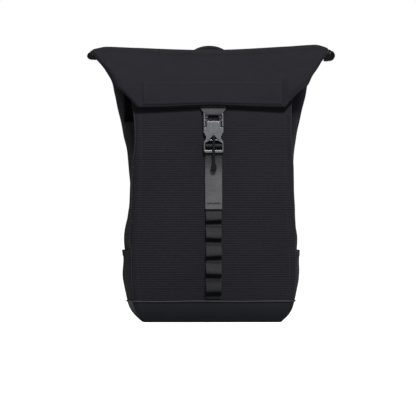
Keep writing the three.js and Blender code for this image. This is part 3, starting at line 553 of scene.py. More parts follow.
class Finish:
    """A material under construction: short calls for its nodes."""

    def __init__(self, name, roughness, metallic=0.0, specular=0.5, sheen=0.0):
        self.material = bpy.data.materials.new(name)
        self.material.use_nodes = True
        self.tree = self.material.node_tree
        self.shader = self.tree.nodes["Principled BSDF"]
        self.shader.inputs["Roughness"].default_value = roughness
        self.shader.inputs["Metallic"].default_value = metallic
        self.shader.inputs["Specular IOR Level"].default_value = specular
        self.shader.inputs["Sheen Weight"].default_value = sheen
        self.shader.inputs["Sheen Roughness"].default_value = 0.45

    def node(self, kind, **settings):
        made = self.tree.nodes.new(kind)
        for key, value in settings.items():
            setattr(made, key, value)
        return made

    def link(self, source, target):
        self.tree.links.new(source, target)

    def set(self, socket, value):
        if isinstance(value, bpy.types.NodeSocket):
            self.link(value, socket)
        else:
            socket.default_value = value

    def math(self, operation, a, b=0.0):
        made = self.node("ShaderNodeMath", operation=operation)
        self.set(made.inputs[0], a)
        self.set(made.inputs[1], b)
        return made.outputs[0]

    def cloth_place(self):
        """The two cloth coordinates, in millimetres."""
        place = self.node("ShaderNodeUVMap", uv_map="cloth")
        split = self.node("ShaderNodeSeparateXYZ")
        self.link(place.outputs[0], split.inputs[0])
        return split.outputs[0], split.outputs[1]

    def solid_place(self, scale=(1, 1, 1)):
        """The place in the bag, in metres, stretched by scale."""
        place = self.node("ShaderNodeTexCoord")
        stretch = self.node("ShaderNodeMapping")
        stretch.inputs["Scale"].default_value = scale
        self.link(place.outputs["Object"], stretch.inputs["Vector"])
        return stretch.outputs[0]

    def noise(self, scale, detail=3.0, roughness=0.55, place=None):
        made = self.node("ShaderNodeTexNoise")
        made.inputs["Scale"].default_value = scale
        made.inputs["Detail"].default_value = detail
        made.inputs["Roughness"].default_value = roughness
        self.link(place or self.solid_place(), made.inputs["Vector"])
        return made.outputs["Fac"]

    def range(self, value, low, high, to_low, to_high):
        made = self.node("ShaderNodeMapRange")
        self.set(made.inputs["Value"], value)
        for key, each in zip(("From Min", "From Max", "To Min", "To Max"), (low, high, to_low, to_high)):
            made.inputs[key].default_value = each
        return made.outputs[0]

    def colour(self, base, *shares):
        """The base colour, made lighter and darker by the product of the shares."""
        total = shares[0]
        for share in shares[1:]:
            total = self.math("MULTIPLY", total, share)
        scaled = self.node("ShaderNodeVectorMath", operation="SCALE")
        scaled.inputs[0].default_value = base
        self.link(total, scaled.inputs["Scale"])
        self.link(scaled.outputs[0], self.shader.inputs["Base Color"])

    def bump(self, height, distance, strength=1.0, after=None):
        made = self.node("ShaderNodeBump")
        made.inputs["Distance"].default_value = distance
        made.inputs["Strength"].default_value = strength
        self.link(height, made.inputs["Height"])
        if after:
            self.link(after, made.inputs["Normal"])
        self.link(made.outputs[0], self.shader.inputs["Normal"])
        return made.outputs[0]

    def roughness(self, value):
        self.link(value, self.shader.inputs["Roughness"])

    def weave(self, across, along, pitch_u, pitch_v):
        """Yarns that pass over and under each other: 1 on top of a yarn and 0 between yarns."""
        column = self.math("DIVIDE", across, pitch_u)
        odd = self.math("MULTIPLY", self.math("MODULO", self.math("FLOOR", column), 2.0), 0.5)
        row = self.math("ADD", self.math("DIVIDE", along, pitch_v), odd)
        rounded = self.math("ABSOLUTE", self.math("SINE", self.math("MULTIPLY", column, math.pi)))
        knuckle = self.math("ABSOLUTE", self.math("SINE", self.math("MULTIPLY", row, math.pi)))
        return self.math("MULTIPLY", self.math("POWER", rounded, 0.6), self.math("POWER", knuckle, 0.7))


def cloth_finish(name, base, pitch, rib=0.0):
    """Woven bag cloth: a plain weave with uneven yarns, and with rib the height of its cross ribs."""
    made = Finish(name, 0.82, specular=0.14, sheen=0.03)
    made.shader.inputs["Sheen Tint"].default_value = (0.75, 0.78, 0.85, 1)
    across, along = made.cloth_place()
    weave = made.weave(across, along, pitch, pitch)
    yarn_across = made.noise(260, 2, place=made.solid_place((0.25, 0.25, 6)))
    yarn_up = made.noise(260, 2, place=made.solid_place((5, 5, 0.22)))
    mottled = made.noise(9, 4)
    speck = made.noise(900, 1)
    shares = [
        made.range(weave, 0, 1, 0.65, 1.1225),
        made.range(yarn_across, 0.3, 0.7, 0.86, 1.14),
        made.range(yarn_up, 0.3, 0.7, 0.9, 1.1),
        made.range(mottled, 0.3, 0.75, 0.9, 1.14),
        made.range(speck, 0.3, 0.7, 0.9, 1.1),
    ]
    height = weave
    if rib:
        wave = made.math("SINE", made.math("MULTIPLY", along, 2 * math.pi / 4.2))
        depth = made.range(made.noise(28, 2, place=made.solid_place((0.3, 0.3, 1))), 0.3, 0.7, 0.4, 1.0)
        wave = made.math("MULTIPLY", wave, depth)
        shares.append(made.range(wave, -1, 1, 1 - rib * 0.14, 1 + rib * 0.14))
        height = made.math("ADD", weave, made.math("MULTIPLY", wave, rib * 1.6))
    made.colour(base, *shares)
    soft = made.bump(made.noise(34, 3), 0.0016, 0.35)
    made.bump(height, 0.00022, 0.8, after=soft)
    return made.material


def webbing_finish(name, base, roughness=0.75, sheen=0.02, painted_shadow_fade=(0, 1, 1)):
    """Flat woven webbing: rows of yarn knuckles with darker gaps. The last argument gives two heights in metres, and
    the share of the tone that is left above the second: a painted shadow that darkens the webbing upward between them."""
    made = Finish(name, roughness, specular=0.2, sheen=sheen)
    across, along = made.cloth_place()
    weave = made.weave(across, along, 1.25, 2.1)
    mottled = made.noise(40, 4)
    yarn = made.noise(420, 2, place=made.solid_place((6, 1, 0.5)))
    height = made.node("ShaderNodeSeparateXYZ")
    made.link(made.solid_place(), height.inputs[0])
    low, high, left = painted_shadow_fade
    made.colour(
        base,
        made.range(height.outputs[2], low, high, 1, left),
        made.range(weave, 0, 1, 0.55, 1.12),
        made.range(mottled, 0.3, 0.75, 0.86, 1.16),
        made.range(yarn, 0.3, 0.7, 0.88, 1.12),
    )
    made.bump(weave, 0.00032, 0.9)
    return made.material


def coated_finish(name, base):
    """Coated cloth: smooth, with a fine grain, a low sheen and faint rubbed places."""
    made = Finish(name, 0.5, specular=0.13)
    grain = made.noise(1400, 3)
    cloud = made.noise(14, 4)
    scuff = made.noise(60, 5, 0.7, made.solid_place((1, 1, 5)))
    made.colour(
        base,
        made.range(cloud, 0.3, 0.75, 0.92, 1.12),
        made.range(scuff, 0.55, 0.8, 1.0, 1.25),
        made.range(grain, 0.3, 0.7, 0.93, 1.07),
    )
    made.roughness(made.range(cloud, 0.3, 0.7, 0.42, 0.58))
    soft = made.bump(made.noise(55, 3), 0.0009, 0.35)
    made.bump(grain, 0.00012, 0.6, after=soft)
    return made.material


def mesh_finish(name, base):
    """Spacer mesh on padding: small open cells in staggered rows."""
    made = Finish(name, 0.85, specular=0.15, sheen=0.04)
    cells = made.node("ShaderNodeTexVoronoi", feature="DISTANCE_TO_EDGE")
    cells.inputs["Scale"].default_value = 420
    cells.inputs["Randomness"].default_value = 0.4
    made.link(made.solid_place((1, 0, 1)), cells.inputs["Vector"])
    open_cell = made.range(cells.outputs["Distance"], 0.06, 0.3, 1.0, 0.0)
    mottled = made.noise(12, 4)
    made.colour(base, made.range(open_cell, 0, 1, 0.5, 1.35), made.range(mottled, 0.3, 0.75, 0.88, 1.12))
    soft = made.bump(made.noise(60, 3), 0.0012, 0.3)
    made.bump(open_cell, 0.0005, 0.8, after=soft)
    return made.material


def metal_finish(name, base):
    """Satin die-cast metal: a fine blasted grain and lighter, smoother rubbed spots."""
    made = Finish(name, 0.38, metallic=0.85, specular=0.5)
    grain = made.noise(2600, 2)
    rubbed = made.noise(130, 4, 0.65)
    made.colour(base, made.range(rubbed, 0.3, 0.75, 0.9, 1.16), made.range(grain, 0.3, 0.7, 0.95, 1.05))
    made.roughness(made.range(rubbed, 0.3, 0.75, 0.44, 0.3))
    made.bump(grain, 0.00006, 0.5)
    return made.material


def moulded_finish(name, base, roughness, specular, grain_scale=1500):
    """Moulded rubber or plastic: an even grain with faint handling marks."""
    made = Finish(name, roughness, specular=specular)
    grain = made.noise(grain_scale, 3)
    marks = made.noise(70, 5, 0.7)
    made.colour(base, made.range(marks, 0.3, 0.75, 0.88, 1.18), made.range(grain, 0.3, 0.7, 0.94, 1.06))
    made.roughness(made.range(marks, 0.3, 0.75, roughness - 0.06, roughness + 0.08))
    made.bump(grain, 0.00008, 0.6)
    return made.material


BODY_CLOTH = cloth_finish("body_cloth", (0.0108, 0.0101, 0.0142), 1.1)
# A lighter cloth for the rolled edges of the front panel: painted highlight.
SEAM_PAINTED_HIGHLIGHT = cloth_finish("seam_cloth", (0.024, 0.0235, 0.027), 0.9)
RIBBED_CLOTH = cloth_finish("ribbed_cloth", (0.0128, 0.0118, 0.0165), 1.1, rib=1.35)
COATED_CLOTH = coated_finish("coated_cloth", (0.009, 0.0097, 0.0128))
# A much lighter copy of the coated cloth for the tray's folded top edge: painted highlight.
COATED_PAINTED_HIGHLIGHT = coated_finish("coated_edge", (0.048, 0.049, 0.055))
PADDED_MESH = mesh_finish("padded_mesh", (0.0155, 0.015, 0.019))
CHAIN_WEBBING = webbing_finish("chain_webbing", (0.026, 0.0255, 0.028))
# A darker copy of the chain webbing for the lowest loop: painted shade.
LOWEST_LOOP_PAINTED_SHADE = webbing_finish("last_webbing", (0.014, 0.015, 0.017), 0.7)
# Near black webbing for painted shadows: under the loops of the chain and in the buckle's ring.
PAINTED_SHADOW_WEBBING = webbing_finish("shade_webbing", (0.0018, 0.0018, 0.002), 0.85, 0.0)
TAB_WEBBING = webbing_finish("tab_webbing", (0.07, 0.0695, 0.074), sheen=0.03)
DARK_WEBBING = webbing_finish("dark_webbing", (0.0135, 0.013, 0.016))
BINDING = moulded_finish("binding", (0.002, 0.002, 0.0024), 0.42, 0.16)
BUCKLE_METAL = metal_finish("buckle_metal", (0.147, 0.151, 0.16))
# A darker copy of the buckle's metal for its base plate: painted shade in the recess between the rails.
BUCKLE_BASE_PAINTED_SHADE = metal_finish("buckle_inside", (0.035, 0.036, 0.038))
PULL_RUBBER = moulded_finish("pull_rubber", (0.0045, 0.006, 0.007), 0.6, 0.1)
ADJUSTER_PLASTIC = moulded_finish("adjuster_plastic", (0.01, 0.01, 0.0105), 0.45, 0.3)
THREAD = moulded_finish("thread", (0.03, 0.029, 0.034), 0.7, 0.2, grain_scale=3000)
THREAD_DARK = moulded_finish("thread_dark", (0.012, 0.012, 0.013), 0.7, 0.2, grain_scale=3000)

def rising(low, high, step=HEIGHT_STEP):
    return np.linspace(low, high, max(2, int(round((high - low) / step)) + 1))


def make_bag():
    base = TRIM_WALL + SEAM_GAP
    stations = [tube_station(z) for z in rising(base, NECK_HEIGHT, 3.2)]
    tube_rows = len(stations)
    stations += [bend_station(share) for share in np.linspace(0, 1, 17)[1:-1]]
    drops = np.linspace(0, 1, 34)
    stations += [flap_station(drop) for drop in drops]
    outer = [ring(station, 0) for station in stations]
    turned = [flap_station(1)] * 3 + [flap_station(drop) for drop in drops[::-1][1:8]]
    depths = [-0.5, -1.5] + [-CLOTH_WALL] * 8
    inner = [ring(station, depth) for station, depth in zip(turned, depths)]
    inner[0][:, 2] -= 0.6
    inner[1][:, 2] -= 0.6
    outer = [tucked(row) if n < tube_rows else creased(row) for n, row in enumerate(outer)]
    inner = [creased(row) for row in inner]
    rows = narrowed(hung(np.array(outer + inner)))
    shell = Shell()
    u = lengths(outer[40], True)
    ids = shell.grid(rows, u=u, closed=True)
    shell.face(ids[0][::-1])
    return finished(shell.done("bag_cloth"), BODY_CLOTH, "body_cloth", "bag_body")


def make_front_panel():
    low = TRIM_HEIGHT + SEAM_GAP
    high = LIP_HEIGHT + PANEL_TUCK
    columns = np.arange(-CORNER, FACE + CORNER + 1)
    rows = []
    for z in rising(low, high):
        reach = MID_CORNER + (CORNER - 0.4 - MID_CORNER) * float(smooth(z, 128, 150) * (1 - smooth(z, 262, 340)))
        ends = np.linspace(0, reach, MID_CORNER + 1)
        middle = np.arange(CORNER + 1, CORNER + FACE)
        places = np.concatenate((CORNER - ends[::-1], middle, CORNER + FACE + ends))
        whole = places.astype(int).clip(0, len(columns) - 2)
        share = (places - whole)[:, None]
        both = [ring(tube_station(z), out)[columns] for out in (SEAM_GAP + PANEL_WALL, SEAM_GAP)]
        outer, inner = [each[whole] * (1 - share) + each[whole + 1] * share for each in both]
        rows.append(np.concatenate((inner[:1], outer, inner[-1:])))
    rows = hung(np.array(rows))
    shell = Shell()
    shell.grid(rows)
    rolls = Shell()
    turn = circle(12)
    for edge in (1, -2):
        line = along(rows[:, edge], 3.0)
        sections = np.array([np.stack((np.cos(turn), np.sin(turn)), 1) * 1.15 for _ in line])
        sweep(rolls, line, sections)
    # The rolled edges of the front panel take the lighter cloth: painted highlight.
    finished(rolls.done("front_seams"), SEAM_PAINTED_HIGHLIGHT, "body_cloth")
    return finished(shell.done("front_cloth"), RIBBED_CLOTH, "ribbed_cloth", "front_panel")


def flap_point(x, drop, out):
    """A point on the flap's front, a given distance off it."""
    station = flap_station(drop)
    across = station["aft"] - station["fore"]
    across /= np.linalg.norm(across)
    q = out - station["crown"] * (x / (station["back"] - station["crown"])) ** 2
    return np.array((x, station["aft"][0] + q * across[0], station["aft"][1] + q * across[1]))


def make_flap_panel():
    low = 1 - FLAP_PANEL_HEM / (NECK_HEIGHT - LIP_HEIGHT)
    high = (NECK_HEIGHT - FLAP_PANEL_TOP) / (NECK_HEIGHT - LIP_HEIGHT)
    half = FLAP_PANEL_WIDTH / 2
    tall = FLAP_PANEL_TOP - LIP_HEIGHT - FLAP_PANEL_HEM
    rim = np.array((0, 0.25, 0.7, 1.4, 2.4))
    xs = np.concatenate((-half + rim, np.linspace(-half + 4, half - 4, 80), half - rim[::-1]))
    rises = np.concatenate((rim, np.linspace(4, tall - 4, 14), tall - rim[::-1]))
    rows = []
    for rise in rises:
        drop = lerp(low, high, rise / tall)
        row = []
        for x in xs:
            inset = min(rise, tall - rise, half - abs(x))
            lift = math.sqrt(max(0.0, 1 - (1 - min(inset, 2.4) / 2.4) ** 2))
            row.append(flap_point(x, drop, 0.15 + (2 * SEAM_GAP + PANEL_WALL - 0.15) * lift))
        rows.append(row)
    shell = Shell()
    shell.grid(hung(creased(settled(np.array(rows)))), u=xs, v=rises)
    return finished(shell.done("flap_stiffener"), BODY_CLOTH, "body_cloth", "flap_panel")


def make_trim():
    grow = SEAM_GAP + TRIM_WALL
    fold = grow + TRIM_LEDGE
    foot = TRIM_HEIGHT - TRIM_LEDGE_HEIGHT
    levels = [(0, grow - 1.1), (0.25, grow - 0.45), (0.8, grow - 0.1), (1.6, grow)]
    levels += [(z, grow) for z in rising(3.2, foot - 0.6, 2.4)]
    levels += [(foot, grow + 0.05), (foot + 0.15, fold - 0.3), (foot + 0.6, fold), (TRIM_HEIGHT - 1.2, fold)]
    levels += [(TRIM_HEIGHT - 0.5, fold - 0.1), (TRIM_HEIGHT - 0.1, fold - 0.5), (TRIM_HEIGHT, grow - 0.4)]
    levels += [(TRIM_HEIGHT - 0.3, SEAM_GAP + 0.1)]
    rows = [ring(tube_station(z), out) for z, out in levels]
    rows = np.array(rows)
    soft = smooth(rows[..., 2], 2, 14)
    rows[..., 1] += 0.35 * soft * ripple(rows, 90, 31)
    rows[..., 2] += 0.5 * smooth(rows[..., 2], 25, 38) * ripple(rows, 140, 32, 3)
    centre = rows[0].mean(axis=0)
    under = [lerp(centre, rows[0], share) for share in (0.05, 0.3, 0.6, 0.85, 0.97)]
    edge = Shell()
    turns = np.linspace(0, 2 * math.pi, 9)
    piping = [ring(tube_station(TRIM_HEIGHT - 0.9 + 0.95 * math.sin(a)), fold + 0.35 + 0.95 * math.cos(a))
              for a in turns]
    piping = np.array(piping)
    piping[..., 1] += 0.35 * ripple(piping, 90, 31)
    piping[..., 2] += 0.5 * ripple(piping, 140, 32, 3)
    edge.grid(piping, closed=True, flip=True)
    # The folded top edge of the tray takes the lighter coated cloth: painted highlight.
    finished(edge.done("tray_edge"), COATED_PAINTED_HIGHLIGHT, "coated_cloth")
    shell = Shell()
    ids = shell.grid(np.concatenate((np.array(under), rows)), u=lengths(rows[10], True), closed=True)
    shell.face(ids[0][::-1])
    return finished(shell.done("base_tray"), COATED_CLOTH, "coated_cloth", "bottom_trim")


def pocket_rows(side, levels):
    """Rows of a pocket's cloth: levels are heights with the distance from the tube."""
    first = FACE + MID_CORNER if side > 0 else 2 * FACE + CORNER * 2 + EDGE + MID_CORNER
    columns = np.arange(first, first + EDGE + 2 * (CORNER - MID_CORNER) + 1)
    rows = []
    for z, out in levels:
        points = ring(tube_station(z), SEAM_GAP + out)[columns]
        share = np.linspace(0, 1, len(points))
        rise = (z - TRIM_HEIGHT) / (POCKET_HEIGHT - TRIM_HEIGHT)
        points[:, 0] += side * np.sin(math.pi * share) * smooth(rise, 0, 1) * POCKET_SLACK
        gather = 0.35 * np.sin(share * 2 * math.pi * 17 + 2.0 * np.sin(share * 9)) * smooth(rise, 0.55, 1)
        points[:, 0] += side * gather * smooth(np.sin(math.pi * share), 0.05, 0.4)
        rows.append(points)
    return np.array(rows)


def make_pocket(side, name):
    low = TRIM_HEIGHT + SEAM_GAP
    top = POCKET_HEIGHT
    levels = [(low, 0), (low, POCKET_WALL)]
    levels += [(z, POCKET_WALL) for z in rising(low + 1, top - 11.5, 3.5)]
    levels += [(top - 11, POCKET_WALL + 0.15), (top - 10.6, POCKET_WALL + 0.7), (top - 9.8, POCKET_WALL + 0.9)]
    levels += [(z, POCKET_WALL + 0.9) for z in rising(top - 8, top - 1.6, 2.2)]
    levels += [(top - 0.7, POCKET_WALL + 0.75), (top - 0.1, POCKET_WALL + 0.25), (top, POCKET_WALL - 0.4)]
    levels += [(top - 0.5, 0.1), (top - 6, 0.05), (top - 30, 0.05)]
    shell = Shell()
    shell.grid(hung(pocket_rows(side, levels)), flip=False)
    piece = shell.done(f"pocket_cloth_{name}")
    return finished(piece, BODY_CLOTH, "body_cloth", f"side_pocket_{name}")


def along(points, step):
    """A smooth line through points, in even steps."""
    points = np.asarray(points, float)
    place = lengths(points, False)
    before = np.vstack((2 * points[0] - points[1], points[:-1]))
    after = np.vstack((points[1:], 2 * points[-1] - points[-2]))
    gap_before = np.concatenate(([place[1]], np.diff(place)))
    gap_after = np.concatenate((np.diff(place), [place[-1] - place[-2]]))
    slope = (after - before) / (gap_before + gap_after)[:, None]
    at = np.linspace(0, place[-1], max(3, int(round(place[-1] / step)) + 1))
    i = np.clip(np.searchsorted(place, at) - 1, 0, len(points) - 2)
    gap = (place[i + 1] - place[i])[:, None]
    t = (at[:, None] - place[i][:, None]) / gap
    return hermite(t, points[i], slope[i] * gap, points[i + 1], slope[i + 1] * gap)


def frames(line, side=None):
    """Sideways and outward directions along a line. Sideways is X unless side is given to cross with."""
    tangents = np.gradient(line, axis=0)
    tangents /= np.linalg.norm(tangents, axis=1)[:, None]
    if side is None:
        sideways = np.tile((1.0, 0, 0), (len(line), 1))
    else:
        sideways = np.cross(side, tangents)
        sideways /= np.linalg.norm(sideways, axis=1)[:, None]
    return sideways, np.cross(tangents, sideways)


def flat_section(width, thickness, count, selvedge=0.12):
    """The outline of flat webbing: round edges, and a little thicker along each edge."""
    radius = thickness / 2
    inner = width / 2 - radius
    xs = np.linspace(-inner, inner, count)
    swell = 1 + selvedge * np.exp(-(((inner - np.abs(xs)) / 1.6) ** 2))
    turn = np.linspace(0, math.pi, 6)[1:-1]
    right = np.stack((inner + radius * np.sin(turn), -radius * np.cos(turn)), 1)
    low = np.stack((xs, -radius * swell), 1)
    high = np.stack((xs[::-1], radius * swell[::-1]), 1)
    left = np.stack((-inner - radius * np.sin(turn), radius * np.cos(turn)), 1)
    return np.concatenate((low, right, high, left))


def sweep(shell, line, sections, side=None, shift=None):
    """Runs cross sections along a line and closes the ends."""
    sideways, outward = frames(line, side)
    rows = line[:, None] + sections[:, :, :1] * sideways[:, None] + sections[:, :, 1:2] * outward[:, None]
    if shift is not None:
        rows = shift(rows)
    ids = shell.grid(rows, u=lengths(sections[len(sections) // 2], True), v=lengths(line, False), closed=True)
    shell.face(ids[0][::-1])
    shell.face(ids[-1])
    return rows


def web(shell, line, width, thickness, side=None, shift=None, count=22):
    """Flat webbing along a line. Width and thickness are numbers, or functions of the share of the line."""
    shares = np.linspace(0, 1, len(line))
    wide = width if callable(width) else lambda share: width
    thick = thickness if callable(thickness) else lambda share: thickness
    sections = np.array([flat_section(wide(share), thick(share), count) for share in shares])
    return sweep(shell, line, sections, side, shift)


# Where the webbing and the buckle lie: on the outside of the front panel, at the middle
def panel_face(z):
    return fore_y(z) - SEAM_GAP - PANEL_WALL


def over_panel(z, out, x=0.0):
    return np.array((x, panel_face(z) - out, z))


BUCKLE_LENGTH = BUCKLE_FRAME_HEIGHT + LEG_HEIGHT + RING_HEIGHT
HEAD_POINT = over_panel(BUCKLE_TOP, 0)
FOOT_POINT = over_panel(BUCKLE_TOP - BUCKLE_LENGTH, 0)
BUCKLE_RUN = (HEAD_POINT - FOOT_POINT) / np.linalg.norm(HEAD_POINT - FOOT_POINT)
BUCKLE_OUT = np.array((0, -BUCKLE_RUN[2], BUCKLE_RUN[1]))
PANEL_BULGE = max(0.0, *(
    float((over_panel(BUCKLE_TOP - BUCKLE_LENGTH * share, 0) - FOOT_POINT) @ BUCKLE_OUT)
    for share in (0.2, 0.35, 0.5, 0.65, 0.8)
))
FRAME_BACK = max(PANEL_BULGE + SEAM_GAP + TAB_THICKNESS / 2, TAB_THICKNESS + 2 * SEAM_GAP)
FRAME_FACE = FRAME_BACK + BUCKLE_BASE
PLATE_BACK = FRAME_FACE + SEAM_GAP
RING_TOP = -BUCKLE_FRAME_HEIGHT - LEG_HEIGHT
RING_FOOT = RING_TOP - RING_HEIGHT
RING_OPENING = RING_HEIGHT - RING_TOP_BAR - RING_FOOT_BAR
STRAP_STACK = 2 * (STRAP_THICKNESS + SEAM_GAP) + SEAM_GAP
RING_BACK = max(STRAP_STACK, PLATE_BACK + PLATE_DEPTH - RING_DEPTH)
BAR_UP = RING_TOP - RING_TOP_BAR - RING_OPENING * 0.42
BAR_OUT = RING_BACK + RING_DEPTH / 2
STRAP_TURN = RING_BAR / 2 + 2 * SEAM_GAP + STRAP_THICKNESS / 2
STRAP_FACE = BAR_OUT + STRAP_TURN + STRAP_THICKNESS / 2
BUCKLE_FACE = max(PLATE_BACK + PLATE_DEPTH, RING_BACK + RING_DEPTH, STRAP_FACE)


def on_buckle(x, up, out):
    return HEAD_POINT + np.array((x, 0, 0)) + BUCKLE_RUN * up + BUCKLE_OUT * out


def rounded(corners, steps=5):
    """An outline with rounded corners, from rows of x, up and radius."""
    made = []
    count = len(corners)
    for i, (x, y, radius) in enumerate(corners):
        here = np.array((x, y), float)
        before = np.array(corners[i - 1][:2], float) - here
        after = np.array(corners[(i + 1) % count][:2], float) - here
        reach_before, reach_after = np.linalg.norm(before), np.linalg.norm(after)
        before, after = before / reach_before, after / reach_after
        half = math.acos(float(np.clip(before @ after, -1, 1))) / 2
        cut = min(radius / math.tan(half), reach_before * 0.49, reach_after * 0.49) if radius else 0
        if cut < 1e-3:
            made.append(here)
            continue
        start, end = here + before * cut, here + after * cut
        for t in np.linspace(0, 1, steps):
            made.append((1 - t) ** 2 * start + 2 * t * (1 - t) * here + t**2 * end)
    return np.array(made)


def mirrored(corners):
    """An outline from its right half, given from the top middle to the bottom middle."""
    return corners + [(-x, y, r) for x, y, r in corners[::-1] if abs(x) > 1e-6]


def cast(outlines, back, face, bevel=0.5, place=on_buckle):
    """A cast plate with round edges and holes, as a mesh in metres. It lies in the buckle's frame, or where
    place puts x, up and out."""
    curve = bpy.data.curves.new("cast", "CURVE")
    curve.dimensions = "2D"
    curve.fill_mode = "BOTH"
    curve.extrude = (face - back) / 2 - bevel
    curve.bevel_depth = bevel
    curve.bevel_resolution = 2
    curve.offset = -bevel
    for outline in outlines:
        spline = curve.splines.new("POLY")
        spline.points.add(len(outline) - 1)
        for point, (x, y) in zip(spline.points, outline):
            point.co = (x, y, 0, 1)
        spline.use_cyclic_u = True
    holder = shown("cast", curve)
    mesh = bpy.data.meshes.new_from_object(holder.evaluated_get(bpy.context.evaluated_depsgraph_get()))
    bpy.data.objects.remove(holder)
    bpy.data.curves.remove(curve)
    middle = (back + face) / 2
    for vertex in mesh.vertices:
        x, y, z = vertex.co
        vertex.co = place(x, y, z + middle) * MM
    return mesh


def dome(x, up, out, radius, height):
    """A low round boss in the buckle's frame."""
    shell = Shell()
    rows = []
    for turn in np.linspace(0, math.pi / 2 * 0.96, 6):
        angles = circle(16)
        reach = radius * math.cos(turn)
        rows.append([on_buckle(x + reach * math.cos(a), up + reach * math.sin(a), out + height * math.sin(turn))
                     for a in angles])
    ids = shell.grid(rows, closed=True)
    shell.face(ids[-1])
    return shell


def merged(name, parts):
    """One piece from meshes and shells, with edges kept sharp above a third of a right angle."""
    work = bmesh.new()
    for part in parts:
        if isinstance(part, Shell):
            holder = part.done("part")
            part = holder.data
            bpy.data.objects.remove(holder)
        work.from_mesh(part)
        bpy.data.meshes.remove(part)
    mesh = bpy.data.meshes.new(name)
    bmesh.ops.recalc_face_normals(work, faces=work.faces)
    work.to_mesh(mesh)
    work.free()
    mesh.shade_smooth()
    mesh.set_sharp_from_angle(angle=math.radians(32))
    return shown(name, mesh)


def make_buckle_frame():
    half = BUCKLE_WIDTH / 2
    slot = BUCKLE_SLOT_WIDTH / 2
    foot = -BUCKLE_FRAME_HEIGHT
    outline = rounded(mirrored([(half, 0, 2), (half, foot + 3, 1), (half - 3, foot, 1)]))
    slot_top, slot_foot = -BUCKLE_BAR, -BUCKLE_BAR - BUCKLE_SLOT_HEIGHT
    hole = rounded(mirrored([(slot, slot_top, 1), (slot, slot_foot, 1)]))
    base = merged("buckle_base", [cast([outline, hole], FRAME_BACK, FRAME_FACE, 0.45)])
    # The base plate takes the darker metal: painted shade between the rails and round the slot.
    finished(base, BUCKLE_BASE_PAINTED_SHADE, "buckle_metal")
    parts = []
    inner = half - BUCKLE_RAIL
    catch = inner - 1.1
    rail_foot = PLATE_SHOULDER + SEAM_GAP
    rail = [
        (half, -0.2, 1), (inner, -0.2, 1), (inner, -9.5, 0.5), (catch, -10.5, 0.4), (catch, -13, 0.4),
        (inner, -14, 0.5), (inner, rail_foot, 0.8), (half, rail_foot, 0.8),
    ]
    for side in (-1, 1):
        turned = rounded([(side * x, up, radius) for x, up, radius in rail])
        parts.append(cast([turned], FRAME_FACE - 0.4, FRAME_FACE + BUCKLE_RAIL_DEPTH, 0.6))
        for up in (-7.2, -12.2):
            parts.append(dome(side * 11.9, up, FRAME_FACE - 0.1, 1.7, 2.4))
    return finished(merged("buckle_housing", parts), BUCKLE_METAL, "buckle_metal", "buckle_frame")


def make_buckle_plate():
    half = BUCKLE_WIDTH / 2
    neck = PLATE_WIDTH / 2
    foot = -BUCKLE_FRAME_HEIGHT
    face = PLATE_BACK + PLATE_DEPTH
    plate = rounded(mirrored([
        (neck, PLATE_TOP, 1.4), (neck, PLATE_SHOULDER - 1, 1.2), (half, PLATE_SHOULDER - 1, 1),
        (half, foot + 3.6, 1.2), (half - 2.2, foot + 1, 0.8), (half - 2.2, foot - 1.2, 0.5),
        (half - 4, foot - 2.6, 0.8), (half - 4, foot - 10, 0.4), (6.2, foot - 10, 0.4), (6.0, foot - 7, 1.2),
        (0, foot - 1.4, 0.8),
    ]))
    parts = [cast([plate], PLATE_BACK, face, 0.55)]
    crown = rounded(mirrored([(neck - 2, PLATE_TOP - 2, 1.5), (neck - 2, foot + 5, 3), (4, foot + 1.2, 1.5)]))
    parts.append(cast([crown], face - 0.9, face + 0.35, 0.35))
    outer = rounded(mirrored([
        (6.0, RING_TOP + 3.4, 0.4), (6.4, RING_TOP + 5.2, 0.5), (half - 4, RING_TOP + 5.2, 0.8),
        (half, RING_TOP - 1.6, 2.4), (half, RING_FOOT, 4.2),
    ]))
    opening = rounded(mirrored([
        (6.8, RING_TOP + 1.6, 1.2), (half - 2.6, RING_TOP - 3, 1.6),
        (half - 2.6, RING_FOOT + RING_FOOT_BAR, 2.0),
    ]))
    parts.append(cast([outer, opening], RING_BACK, RING_BACK + RING_DEPTH, 0.9))
    bar = Shell()
    angles = circle(12)
    radius = RING_BAR / 2
    bar.grid([[on_buckle(x, BAR_UP + radius * math.sin(a), BAR_OUT + radius * math.cos(a)) for a in angles]
              for x in np.linspace(-half + 2, half - 2, 9)], closed=True)
    parts.append(bar)
    return finished(merged("buckle_casting", parts), BUCKLE_METAL, "buckle_metal", "buckle_plate")


def make_buckle_pull():
    top = -BUCKLE_FRAME_HEIGHT - 2
    cover = BUCKLE_FACE + SEAM_GAP + PULL_THICKNESS / 2
    places = []
    for t in np.linspace(0, 1, 12):
        up = top - PULL_LENGTH * (1 - t)
        places.append(on_buckle(0, up, cover - max(0.0, RING_FOOT - up) * PULL_HANG))
    line = along(places, 0.8)
    rise = lengths(line, False)
    total = rise[-1]
    tip = PULL_WIDTH / 2
    sections = []
    for each in rise:
        end = math.sqrt(max(tip**2 - max(0.0, tip - each) ** 2, 0.05))
        taper = float(smooth(each, total * 0.13, total * 0.27))
        width = 2 * lerp(end, PULL_NECK / 2, taper)
        thick = PULL_THICKNESS * lerp(min(1.0, 0.45 + end / tip * 0.55), 1, taper)
        thick *= 1 + 0.25 * float(smooth(each, 2, 6) * (1 - smooth(each, 16, 24)))
        turn = circle(24)
        shape = np.stack((np.sign(np.cos(turn)) * np.abs(np.cos(turn)) ** 0.6 * width / 2,
                          np.sign(np.sin(turn)) * np.abs(np.sin(turn)) ** 0.8 * thick / 2), 1)
        sections.append(shape)
    shell = Shell()
    sweep(shell, line, np.array(sections))
    return finished(shell.done("release_pull"), PULL_RUBBER, "pull_rubber", "buckle_pull")


